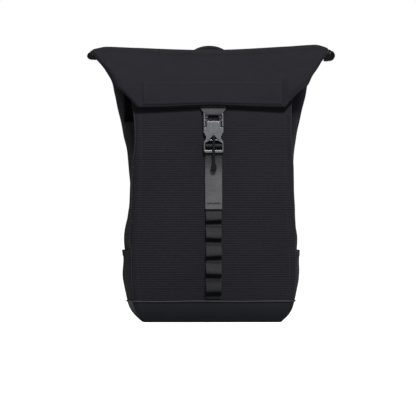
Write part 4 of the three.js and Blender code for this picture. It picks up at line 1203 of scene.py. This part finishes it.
def make_buckle_tab():
    """The tab comes down from under the flap, passes over the buckle's head and is folded back at its
    lower edge."""
    half = TAB_THICKNESS / 2
    lift = FRAME_FACE + 0.25 + half
    places = [over_panel(LIP_HEIGHT + PANEL_TUCK - 1.5, SEAM_GAP + half)]
    places += [over_panel(z, SEAM_GAP + half) for z in (388, 382, 377)]
    places += [on_buckle(0, 7.5, lerp(SEAM_GAP + half, lift, 0.45)), on_buckle(0, 3, lift - 0.25)]
    places += [on_buckle(0, up, lift) for up in (1, -0.8)]
    line = along(places, 0.9)
    rise = line[:, 2]

    def width(share):
        z = rise[int(round(share * (len(line) - 1)))]
        spread = np.clip((z - BUCKLE_TOP) / (LIP_HEIGHT - BUCKLE_TOP), 0, 1)
        return lerp(TAB_BOTTOM_WIDTH, TAB_TOP_WIDTH, spread)

    shell = Shell()
    web(shell, line, width, TAB_THICKNESS, count=26)
    fold = Shell()
    reach = TAB_BOTTOM_WIDTH / 2
    edge = [on_buckle(x, -1.2, lift - 0.15) for x in np.linspace(-reach, reach, 24)]
    angles = circle(10)
    fold.grid([[point + BUCKLE_RUN * math.sin(a) * 0.95 + BUCKLE_OUT * math.cos(a) * 0.85 for a in angles]
               for point in edge], closed=True)
    piece = merged("buckle_tab_cloth", [shell, fold])
    piece.data.set_sharp_from_angle(angle=math.radians(80))
    return finished(piece, TAB_WEBBING, "webbing", "buckle_tab")


def make_buckle_strap():
    half = STRAP_THICKNESS / 2
    rear_out = SEAM_GAP + half
    tail_out = rear_out + STRAP_THICKNESS + SEAM_GAP
    turn_in = on_buckle(0, RING_FOOT, 0)[2] - STRAP_HEM / 2
    rear = [over_panel(z, rear_out) for z in np.linspace(STRAP_TAIL_HEIGHT + STRAP_HEM / 2, turn_in, 12)]
    behind = RING_BACK - SEAM_GAP - half
    over_foot = RING_FOOT + RING_FOOT_BAR + SEAM_GAP + half
    mid_foot = RING_FOOT + RING_FOOT_BAR / 2
    rear += [on_buckle(0, up, behind - STRAP_THICKNESS - 2 * SEAM_GAP) for up in (mid_foot, over_foot)]
    turn = [on_buckle(0, BAR_UP + STRAP_TURN * math.sin(a), BAR_OUT - STRAP_TURN * math.cos(a))
            for a in np.linspace(0, math.pi * 1.15, 8)]
    tail = [on_buckle(0, over_foot, behind + SEAM_GAP), on_buckle(0, mid_foot, behind)]
    tail += [over_panel(z, tail_out + 0.25 * math.sin(i * 1.9)) for i, z in
             enumerate(np.linspace(turn_in, STRAP_TAIL_HEIGHT, 14))]
    line = along(rear + turn + tail, 1.0)
    total = lengths(line, False)[-1]
    hem = 1 - STRAP_HEM / total

    def thickness(share):
        return STRAP_THICKNESS * (1 + 0.75 * float(smooth(share, hem - 0.004, hem + 0.004)))

    shell = Shell()
    web(shell, line, STRAP_WIDTH, thickness, count=26)
    foot = on_buckle(0, RING_FOOT, 0)[2]
    # Painted shadow of the buckle: the strap darkens from 40 mm to 5 mm below the ring's foot, to 0.22 of its tone.
    painted_shadow_fade = ((foot - 40) * MM, (foot - 5) * MM, 0.22)
    mottled = webbing_finish("strap_webbing", (0.104, 0.103, 0.108), 0.75, 0.03, painted_shadow_fade)
    piece = finished(shell.done("strap_webbing"), mottled, "webbing", "buckle_strap")
    # Painted shadow: the strap is near black from its turn over the bar down to just under the ring's foot.
    turned = on_buckle(0, BAR_UP - 0.8, 0)[2]
    return paint_shadow(piece, PAINTED_SHADOW_WEBBING, lambda at: foot - 0.7 < at[2] < turned)


# One loop of the daisy chain: fall from the upper tack, and distance off the panel as a share of the standoff
LOOP = [
    (0.0, 0.0), (0.04, 0.0), (0.12, 0.3), (0.24, 0.68), (0.38, 0.93), (0.5, 1.0), (0.575, 0.9), (0.59, 0.62),
    (0.565, 0.32), (0.56, 0.1), (0.62, 0.0), (0.78, 0.0), (0.9, 0.0), (1.0, 0.0),
]
LOOP_PITCH = (STRAP_TAIL_HEIGHT - SEAM_GAP - CHAIN_BOTTOM) / LOOP_COUNT
LOOP_SKEW = (0.9, -0.7, 1.1, -0.9, 0.4)


def paint_shadow(piece, finish, inside):
    """Gives a second material, a painted shadow, to the faces whose middles pass the test."""
    piece.data.materials.append(finish)
    for face in piece.data.polygons:
        if inside(np.array(face.center) / MM):
            face.material_index = 1
    return piece


def make_loop(index):
    top = STRAP_TAIL_HEIGHT - SEAM_GAP - index * LOOP_PITCH
    rest = SEAM_GAP + STRAP_THICKNESS / 2
    run = LOOP_PITCH - SEAM_GAP
    places = [over_panel(top - fall * run, rest + out * LOOP_STANDOFF) for fall, out in LOOP]
    line = along(places, 0.8)
    skew = LOOP_SKEW[index]

    def shift(rows):
        off = smooth(panel_face(top - LOOP_PITCH / 2) - rows[..., 1], 2, LOOP_STANDOFF)
        rows = rows.copy()
        rows[..., 2] += skew * off * rows[..., 0] / (STRAP_WIDTH / 2)
        return rows

    shell = Shell()
    web(shell, line, STRAP_WIDTH * 0.92, STRAP_THICKNESS, count=24, shift=shift)
    # The lowest loop takes the darker copy of the webbing: painted shade.
    finish = CHAIN_WEBBING if index < LOOP_COUNT - 1 else LOWEST_LOOP_PAINTED_SHADE
    piece = finished(shell.done(f"chain_loop_{index + 1}"), finish, "webbing", f"webbing_loop_{index + 1}")

    # Painted shadow: the flat part of each loop under its overhang, and a dark line at the top of the first loop under
    # the strap's hem.
    def under(at):
        fall = (top - at[2]) / LOOP_PITCH
        off = panel_face(at[2]) - at[1]
        return 0.52 < fall < 0.84 and off < LOOP_STANDOFF * 0.5 or index == 0 and fall < 0.1

    return paint_shadow(piece, PAINTED_SHADOW_WEBBING, under)


TIP_SHIFT = {"left": 0.0, "right": -3.0}


def make_tip(side, name):
    """The bound end of the fold: a small glossy roll with two wraps round it."""
    start = HALF_SPAN + SEAM_GAP - TIP_INSET
    middle = CREASE + (TIP_FORWARD, TIP_RISE)
    base = settled(np.array((side * start, middle[0], middle[1]))) + (side * 5.5, 0, TIP_SHIFT[name])
    line = np.array([base + (side * (lerp(-9, TIP_LENGTH, t)), 0, -t * TIP_DROOP) for t in np.linspace(0, 1, 26)])
    sections = []
    for t in np.linspace(0, 1, 26):
        narrow = lerp(1, 0.62, t * t) * (1 - max(0.0, (t - 0.62) / 0.38) ** 2.6) ** 0.5
        narrow *= 1 - 0.05 * math.exp(-(((t - 0.45) / 0.04) ** 2)) - 0.04 * math.exp(-(((t - 0.66) / 0.04) ** 2))
        narrow = max(narrow * 1.06, 0.06)
        turn = circle(40)
        lump = 1 + 0.035 * np.sin(3 * turn + 1.4) + 0.02 * np.sin(7 * turn)
        sections.append(np.stack((
            np.sign(np.cos(turn)) * np.abs(np.cos(turn)) ** 0.8 * (TIP_HEIGHT / 2 + 0.6 + 1.2 * side) * narrow * lump,
            np.sign(np.sin(turn)) * np.abs(np.sin(turn)) ** 0.8 * TIP_DEPTH / 2 * narrow * lump,
        ), 1))
    shell = Shell()
    sweep(shell, line, np.array(sections), side=(0, 1, 0))
    return finished(shell.done(f"fold_end_{name}"), BINDING, "binding", f"wing_tip_{name}")


def back_face(x, z):
    station = tube_station(z)
    return station["aft"][0] - station["crown"] * (x / (station["back"] - CORNER_RADIUS)) ** 2


def make_handle():
    rise = HANDLE_TOP - HANDLE_FOOT
    y = back_face(HANDLE_WIDTH / 2, HANDLE_FOOT) + SEAM_GAP + HANDLE_THICKNESS / 2
    places = []
    for turn in np.linspace(0, math.pi, 15):
        z = HANDLE_FOOT + (rise - HANDLE_BAND / 4) * math.sin(turn) ** 0.42
        places.append((-HANDLE_WIDTH / 2 * math.cos(turn), y + HANDLE_LEAN * math.sin(turn), z))
    line = along(places, 1.5)

    def folded(share):
        return float(smooth(math.sin(math.pi * share), 0.25, 0.85))

    shell = Shell()
    web(
        shell,
        line,
        lambda share: lerp(HANDLE_BAND, HANDLE_BAND / 2, folded(share)),
        lambda share: lerp(HANDLE_THICKNESS, HANDLE_THICKNESS * 2, folded(share)),
        side=(0, 1, 0),
        count=18,
    )
    return finished(shell.done("handle_webbing"), DARK_WEBBING, "webbing", "grab_handle")


# A shoulder strap: fall from its top to its end, spread from the middle outward, bow off the back.
SHOULDER_LINE = [
    (0.0, 0.0, 0.0), (0.04, 0.0, 0.02), (0.1, 0.01, 0.22), (0.18, 0.04, 0.55), (0.32, 0.14, 0.88),
    (0.5, 0.38, 1.0), (0.7, 0.72, 0.9), (0.86, 0.93, 0.7), (0.95, 1.0, 0.62), (1.0, 1.0, 0.6),
]


def shoulder_y(z, bow):
    return aft_y(z) + 2 * SEAM_GAP + SHOULDER_THICKNESS / 2 + bow * (BACK_PANEL_THICKNESS + SHOULDER_BOW)


def shoulder_line(side):
    places = []
    for fall, spread, bow in SHOULDER_LINE:
        z = lerp(SHOULDER_TOP, SHOULDER_END, fall)
        places.append((side * lerp(SHOULDER_APART, SHOULDER_SPREAD, spread), shoulder_y(z, bow), z))
    return along(places, 3.0)


def shoulder_width(share):
    return lerp(SHOULDER_WIDTH, ADJUSTER_WIDTH, share**2)


def inflated(piece, voxel, pressure, cap, frames_run=16):
    """Swells a closed form with simulated cloth and evens it out. No point moves further than cap."""
    remesh = piece.modifiers.new("even", "REMESH")
    remesh.mode = "VOXEL"
    remesh.voxel_size = voxel * MM
    applied(piece)
    rest = np.array([vertex.co for vertex in piece.data.vertices])
    cloth = piece.modifiers.new("swell", "CLOTH")
    cloth.settings.use_pressure = True
    cloth.settings.uniform_pressure_force = pressure
    cloth.settings.effector_weights.gravity = 0
    cloth.settings.quality = 5
    scene = bpy.context.scene
    for number in range(1, frames_run + 1):
        scene.frame_set(number)
    applied(piece)
    scene.frame_set(1)
    swollen = np.array([vertex.co for vertex in piece.data.vertices])
    moved = swollen - rest
    far = np.linalg.norm(moved, axis=1)[:, None]
    moved *= np.minimum(1, cap * MM / np.maximum(far, 1e-9))
    piece.data.vertices.foreach_set("co", (rest + moved).astype(np.float32).ravel())
    finer = piece.modifiers.new("finer", "SUBSURF")
    finer.levels = 1
    applied(piece)
    piece.data.shade_smooth()
    return piece


def applied(piece):
    """Applies the modifiers of a piece to its mesh."""
    graph = bpy.context.evaluated_depsgraph_get()
    mesh = bpy.data.meshes.new_from_object(piece.evaluated_get(graph))
    old = piece.data
    piece.modifiers.clear()
    piece.data = mesh
    bpy.data.meshes.remove(old)
    mesh.name = piece.name


def pad_section(width, thickness, rim, count=30):
    """A foam pad's outline: full in the middle and thin at its sewn edges."""
    a = np.linspace(-1, 1, count)
    full = rim / 2 + (thickness - rim) / 2 * (1 - np.abs(a) ** 4) ** 0.6
    low = np.stack((a * width / 2, -full), 1)
    high = np.stack((a[::-1] * width / 2, full), 1)
    return np.concatenate((low, high))


def make_shoulder(side, name):
    line = shoulder_line(side)
    shares = np.linspace(0, 1, len(line))
    sections = np.array([
        pad_section(shoulder_width(t) - 1.2, SHOULDER_THICKNESS - 1.6, 2.4 if 0.02 < t < 0.98 else 2.0) for t in shares
    ])
    ends = np.minimum(1, np.minimum(shares, 1 - shares) / 0.03)
    sections[:, :, 1] *= (0.35 + 0.65 * ends**0.5)[:, None]
    shell = Shell()
    sweep(shell, line, sections, side=(0, 1, 0))
    piece = inflated(shell.done(f"shoulder_pad_{name}"), 3.2, 3.0, 1.2)
    finished(piece, PADDED_MESH, "padded_mesh", f"shoulder_strap_{name}")
    binding = Shell()
    sideways, outward = frames(line, (0, 1, 0))
    for edge in (-1, 1):
        rim = line + sideways * (edge * (np.array([shoulder_width(t) for t in shares]) / 2 - 1.6))[:, None]
        sections = np.array([flat_section(3.4, 3.6, 6, 0) for _ in rim])
        rows = rim[:, None] + sections[:, :, :1] * sideways[:, None] + sections[:, :, 1:2] * outward[:, None]
        ids = binding.grid(rows, closed=True)
        binding.face(ids[0][::-1])
        binding.face(ids[-1])
        seam = line + sideways * (edge * (shoulder_width(0.5) / 2 - 7)) + outward * 4.9
        sewn(f"shoulder_{name}", seam, outward, 3.6)
    return finished(binding.done(f"shoulder_binding_{name}"), DARK_WEBBING, "webbing")


ADJUSTER_TOP = SHOULDER_END - SEAM_GAP
ADJUSTER_Y = shoulder_y(SHOULDER_END, SHOULDER_LINE[-1][2])
ADJUSTER_FOOT = ADJUSTER_TOP - ADJUSTER_HEIGHT
ADJUSTER_BAR_Z = ADJUSTER_TOP - ADJUSTER_HEIGHT * 0.5
ANCHOR_TOP = ANCHOR_FOOT + ANCHOR_HEIGHT


def make_adjuster(side, name):
    half = ADJUSTER_WIDTH / 2
    inner = WEB_WIDTH / 2 + 2 * SEAM_GAP

    def place(x, up, out):
        return np.array((side * SHOULDER_SPREAD + x, ADJUSTER_Y + out, up))

    outer = rounded(mirrored([(half, ADJUSTER_TOP, 3), (half, ADJUSTER_FOOT, 3)]))
    high, low = ADJUSTER_TOP - ADJUSTER_BAR, ADJUSTER_FOOT + ADJUSTER_BAR
    hole = rounded([(inner, high, 1), (inner, low, 1), (-inner, low, 1), (-inner, high, 1)])
    depth = ADJUSTER_DEPTH / 2
    bar_low, bar_high = ADJUSTER_BAR_Z - ADJUSTER_BAR / 2, ADJUSTER_BAR_Z + ADJUSTER_BAR / 2
    bar = rounded(mirrored([(inner + 1, bar_high, 0.4), (inner + 1, bar_low, 0.4)]))
    parts = [cast([outer, hole], -depth, depth, 0.8, place), cast([bar], -1.5, 1.5, 0.6, place)]
    piece = merged(f"slider_{name}", parts)
    return finished(piece, ADJUSTER_PLASTIC, "adjuster_plastic", f"strap_adjuster_{name}")


def anchor_face(z):
    return back_face(SHOULDER_SPREAD - ANCHOR_WIDTH / 2, z) + SEAM_GAP


def make_lower_webbing(side, name):
    half = WEB_THICKNESS / 2
    x = side * SHOULDER_SPREAD
    rest = anchor_face(ANCHOR_TOP) + WEB_THICKNESS + SEAM_GAP + half
    behind = ADJUSTER_Y - ADJUSTER_DEPTH / 2 - SEAM_GAP - half
    tail = ADJUSTER_Y + ADJUSTER_DEPTH / 2 + SEAM_GAP + half
    radius = ADJUSTER_BAR / 2 + 3 * SEAM_GAP + half
    places = [(x, rest, ANCHOR_FOOT + ANCHOR_HEIGHT * 0.3), (x, rest, ANCHOR_TOP - half)]
    places += [(x, lerp(rest, behind, 0.75), (ANCHOR_TOP + ADJUSTER_FOOT) / 2)]
    places += [(x, behind, ADJUSTER_FOOT + ADJUSTER_BAR / 2)]
    places += [(x, ADJUSTER_Y - radius * math.cos(a), ADJUSTER_BAR_Z + radius * math.sin(a))
               for a in np.linspace(0, math.pi, 7)]
    places += [(x, tail, ADJUSTER_FOOT + ADJUSTER_BAR / 2), (x, tail - WEB_THICKNESS, ADJUSTER_FOOT - WEB_TAIL / 2),
               (x, tail - WEB_THICKNESS, ADJUSTER_FOOT - WEB_TAIL)]
    line = along(places, 1.4)
    total = lengths(line, False)[-1]
    shell = Shell()
    hem = 1 - 14 / total
    web(shell, line, WEB_WIDTH, lambda share: WEB_THICKNESS * (0.9 + 0.35 * float(smooth(share, hem, hem + 0.01))))
    finished(shell.done(f"lower_webbing_{name}"), DARK_WEBBING, "webbing", f"strap_webbing_{name}")
    tab = Shell()
    heights = np.linspace(ANCHOR_FOOT, ANCHOR_TOP, 18)
    line = np.array([(x, anchor_face(z) + half, z) for z in heights])
    web(tab, line, lambda share: lerp(ANCHOR_WIDTH, WEB_WIDTH, share), WEB_THICKNESS * 0.95)
    return finished(tab.done(f"anchor_tab_{name}"), BODY_CLOTH, "body_cloth", f"strap_anchor_{name}")


def channel_share(x, share, tall):
    """How deep the sewn channels of the padded back lie at a place, as a share of its thickness."""
    levels = [0.5 * math.exp(-(((share - level) * tall / 6) ** 2)) for level in (0.36, 0.68)]
    return max(0.55 * math.exp(-((x / 11) ** 2)), *levels)


def make_back_panel():
    """The padded back: three pads between sewn channels, closed behind by a flat cloth."""
    half = BACK_PANEL_WIDTH / 2 - 2.5
    tall = BACK_PANEL_TOP - BACK_PANEL_BOTTOM - 5
    rim = np.array((0, 0.8, 2.2, 4.5))
    xs = np.concatenate((-half + rim, np.linspace(-half + 8, half - 8, 54), half - rim[::-1]))
    rises = np.concatenate((rim, np.linspace(8, tall - 8, 70), tall - rim[::-1]))
    reach = 26

    def rounded_off(x, rise):
        a = (abs(x) - half) / reach + 1
        b = (abs(rise - tall / 2) - tall / 2) / reach + 1
        if min(a, b) <= 0:
            return x, rise
        in_x = reach * a * (1 - math.sqrt(1 - b * b / 2))
        in_z = reach * b * (1 - math.sqrt(1 - a * a / 2))
        return x - math.copysign(in_x, x), rise - math.copysign(in_z, rise - tall / 2)

    front, rear = [], []
    for level in rises:
        outer_row, inner_row = [], []
        for across in xs:
            x, rise = rounded_off(across, level)
            z = BACK_PANEL_BOTTOM + 2.5 + rise
            station = tube_station(z)
            slope = station["crown"] * (x / (station["back"] - CORNER_RADIUS)) ** 2
            inset = min(level, tall - level, half - abs(across))
            full = math.sqrt(max(0.0, 1 - (1 - min(inset, 16) / 16) ** 2))
            deep = 1.6 + (BACK_PANEL_THICKNESS - 5.2) * full * (1 - 0.3 * channel_share(x, rise / tall, tall))
            outer_row.append((x, station["aft"][0] - slope + SEAM_GAP + deep, z))
            inner_row.append((x, station["aft"][0] - slope + SEAM_GAP + 0.1, z))
        front.append(outer_row)
        rear.append(inner_row)
    front, rear = np.array(front), np.array(rear)
    shell = Shell()
    shell.grid(front, flip=True)
    shell.grid(rear)
    for edge in (0, -1):
        shell.grid(np.stack((front[edge], rear[edge])), flip=edge == -1)
        shell.grid(np.stack((front[:, edge], rear[:, edge])), flip=edge == 0)
    piece = shell.done("back_pad")
    work = bmesh.new()
    work.from_mesh(piece.data)
    bmesh.ops.recalc_face_normals(work, faces=work.faces)
    work.to_mesh(piece.data)
    work.free()
    inflated(piece, 4.5, 4.0, 5.0)
    points = np.array([vertex.co for vertex in piece.data.vertices]) / MM
    heights = np.linspace(BACK_PANEL_BOTTOM - 10, BACK_PANEL_TOP + 10, 120)
    stations = [tube_station(z) for z in heights]
    aft, back, crown = (np.interp(points[:, 2], heights, [each(station) for station in stations]) for each in (
        lambda station: station["aft"][0], lambda station: station["back"], lambda station: station["crown"]))
    rest = aft - crown * (points[:, 0] / (back - CORNER_RADIUS)) ** 2 + SEAM_GAP + 0.1
    shares = (points[:, 2] - BACK_PANEL_BOTTOM - 2.5) / tall
    pressed_in = np.array([channel_share(x, share, tall) for x, share in zip(points[:, 0], shares)])
    points[:, 1] = rest + np.clip(points[:, 1] - rest, 0, BACK_PANEL_THICKNESS + 2) * (1 - pressed_in)
    piece.data.vertices.foreach_set("co", (points * MM).astype(np.float32).ravel())
    return finished(piece, PADDED_MESH, "padded_mesh", "back_panel")


# Stitches are gathered by name while the pieces are made, and sewn at the end.
SEAMS = {}


def sewn(name, line, normals, pitch=3.4, long=2.4, thick=0.5):
    """A row of stitches along a line on a surface with these normals."""
    line = np.asarray(line, float)
    normals = np.broadcast_to(np.asarray(normals, float), line.shape)
    place = lengths(line, False)
    count = int(place[-1] / pitch)
    for k in range(count):
        at = (k + 0.5) * place[-1] / count
        ends = [np.array([np.interp(at + d, place, line[:, i]) for i in range(3)]) for d in (-0.4, 0.4)]
        normal = np.array([np.interp(at, place, normals[:, i]) for i in range(3)])
        SEAMS.setdefault(name, []).append(((ends[0] + ends[1]) / 2, ends[1] - ends[0], normal, long, thick))


def sew_all():
    angles = circle(6)
    for name, rows in SEAMS.items():
        shell = Shell()
        for centre, tangent, normal, long, thick in rows:
            tangent = tangent / np.linalg.norm(tangent)
            normal = normal - tangent * (normal @ tangent)
            normal /= np.linalg.norm(normal)
            across = np.cross(tangent, normal)
            rings = []
            for at, size in ((-0.5, 0.35), (-0.36, 0.9), (0, 1.0), (0.36, 0.9), (0.5, 0.35)):
                dip = -0.35 * thick * (2 * at) ** 2
                middle = centre + tangent * at * long + normal * (dip + thick * 0.12)
                rings.append([
                    middle + (across * math.cos(a) + normal * math.sin(a)) * size * thick / 2 for a in angles
                ])
            ids = shell.grid(rings, u=np.zeros(7), v=np.zeros(5), closed=True)
            shell.face(ids[0][::-1])
            shell.face(ids[-1])
        slot = "webbing" if name.startswith("strap") else "body_cloth"
        finished(shell.done(f"stitching_{name}", weld=False), THREAD_DARK if slot == "webbing" else THREAD, slot)


def across_front(z, out, half, count=24):
    return np.array([over_panel(z, out, x) for x in np.linspace(-half, half, count)])


def pressed(name, line):
    """Lays a line against the front of a piece."""
    piece = bpy.data.objects[name]
    laid = []
    for x, y, z in np.asarray(line, float) * MM:
        hit, place, _, _ = piece.ray_cast((x, -0.2, z), (0, 1, 0))
        laid.append(np.array(place) / MM if hit else np.array((x, y, z)) / MM)
    return np.array(laid)


def sew_front():
    bpy.context.view_layer.update()
    face = np.array((0, -1.0, 0))
    half = FLAP_PANEL_WIDTH / 2 - 3.5
    tall = NECK_HEIGHT - LIP_HEIGHT
    low, high = 1 - (FLAP_PANEL_HEM + 3.5) / tall, (NECK_HEIGHT - FLAP_PANEL_TOP + 3) / tall
    out = 2 * SEAM_GAP + PANEL_WALL
    xs = np.linspace(-half, half, 120)
    tilted = np.array((0, -0.93, 0.36))
    for drop in (low, high):
        line = np.array([flap_point(x, drop, out) for x in xs])
        sewn("flap", pressed("flap_stiffener", hung(creased(settled(line)))), tilted)
    for x in (-half, half):
        line = np.array([flap_point(x, d, out) for d in np.linspace(low, high, 30)])
        sewn("flap", pressed("flap_stiffener", hung(creased(settled(line)))), tilted)
    heights = rising(TRIM_HEIGHT + 3, LIP_HEIGHT - 2)
    for column in (2, FACE - 2):
        line = [ring(tube_station(z), SEAM_GAP + PANEL_WALL)[column] for z in heights]
        sewn("panel", pressed("front_cloth", hung(np.array(line))), face)
    tail_face = SEAM_GAP + STRAP_THICKNESS * 2 + SEAM_GAP
    for z in (207.6, 208.6, 209.6):
        sewn("strap_tail", pressed("strap_webbing", across_front(z, tail_face, 12.2)), face, 2.4, 2.0, 0.95)
    for index in range(LOOP_COUNT + 1):
        top = STRAP_TAIL_HEIGHT - SEAM_GAP - index * LOOP_PITCH
        for z in (top + 2.0, top + 3.4):
            if index:
                flat = across_front(z, SEAM_GAP + STRAP_THICKNESS, 12.4)
                sewn("strap_chain", pressed(f"chain_loop_{index}", flat), face, 2.1, 1.7, 0.5)


make_bag()
make_front_panel()
make_flap_panel()
make_trim()
make_pocket(-1, "left")
make_pocket(1, "right")
make_buckle_frame()
make_buckle_plate()
make_buckle_pull()
make_buckle_tab()
make_buckle_strap()
for number in range(LOOP_COUNT):
    make_loop(number)
make_handle()
make_back_panel()
for side, name in ((-1, "left"), (1, "right")):
    make_tip(side, name)
    make_shoulder(side, name)
    make_adjuster(side, name)
    make_lower_webbing(side, name)
sew_front()
sew_all()

# The stage: a pale floor, soft light from above and in front, and the camera of the picture
floor_mesh = bpy.data.meshes.new("floor")
floor_mesh.from_pydata([(-60, -60, 0), (60, -60, 0), (60, 60, 0), (-60, 60, 0)], [], [(0, 1, 2, 3)])
floor = shown("floor", floor_mesh)
floor_finish = Finish("floor", 0.9, specular=0.2)
floor_finish.shader.inputs["Base Color"].default_value = (0.5, 0.5, 0.5, 1)
floor_finish.shader.inputs["Emission Color"].default_value = (1, 1, 1, 1)
floor_seen = floor_finish.node("ShaderNodeLightPath").outputs["Is Camera Ray"]
floor_glow = floor_finish.math("MULTIPLY", floor_seen, 0.98)
floor_finish.link(floor_glow, floor_finish.shader.inputs["Emission Strength"])
floor.data.materials.append(floor_finish.material)

world = bpy.data.worlds.new("studio")
bpy.context.scene.world = world
world.use_nodes = True
sky = world.node_tree.nodes["Background"]
sky.inputs["Color"].default_value = (1, 1, 1, 1)
seen = world.node_tree.nodes.new("ShaderNodeLightPath")
strength = world.node_tree.nodes.new("ShaderNodeMapRange")
strength.inputs["To Min"].default_value = 0.26
strength.inputs["To Max"].default_value = 1.0
world.node_tree.links.new(seen.outputs["Is Camera Ray"], strength.inputs["Value"])
world.node_tree.links.new(strength.outputs[0], sky.inputs["Strength"])


def add_light(name, place, target, size, power):
    light = bpy.data.lights.new(name, "AREA")
    light.size = size
    light.energy = power
    made = shown(name, light)
    made.location = place
    made.rotation_euler = (Vector(target) - Vector(place)).to_track_quat("-Z", "Y").to_euler()
    return made


add_light("key", (0.45, -2.3, 2.6), (0, 0, 0.2), 0.6, 124)
add_light("top", (-0.1, 0.3, 2.2), (0, 0, 0.4), 1.2, 8)

PIXEL = 1.75 * MM
FRAME_PIXELS = 416
PICTURE_MIDDLE = 213.6
PICTURE_FLOOR = 322.5
CAMERA_DISTANCE = 12.0
CAMERA_TURN = -3.0
FRONT_PLANE = -0.08
half_frame = FRAME_PIXELS / 2
target = Vector(((half_frame - PICTURE_MIDDLE) * PIXEL, FRONT_PLANE, (PICTURE_FLOOR - half_frame) * PIXEL))
turn = math.radians(CAMERA_TURN)
back = Vector((math.sin(turn), -math.cos(turn), 0))
camera_data = bpy.data.cameras.new("camera")
camera_data.lens = camera_data.sensor_width * CAMERA_DISTANCE / (FRAME_PIXELS * PIXEL)
camera = shown("camera", camera_data)
camera.location = target + back * CAMERA_DISTANCE
camera.rotation_euler = (-back).to_track_quat("-Z", "Y").to_euler()
bpy.context.scene.camera = camera
bpy.context.scene.view_settings.view_transform = "Standard"
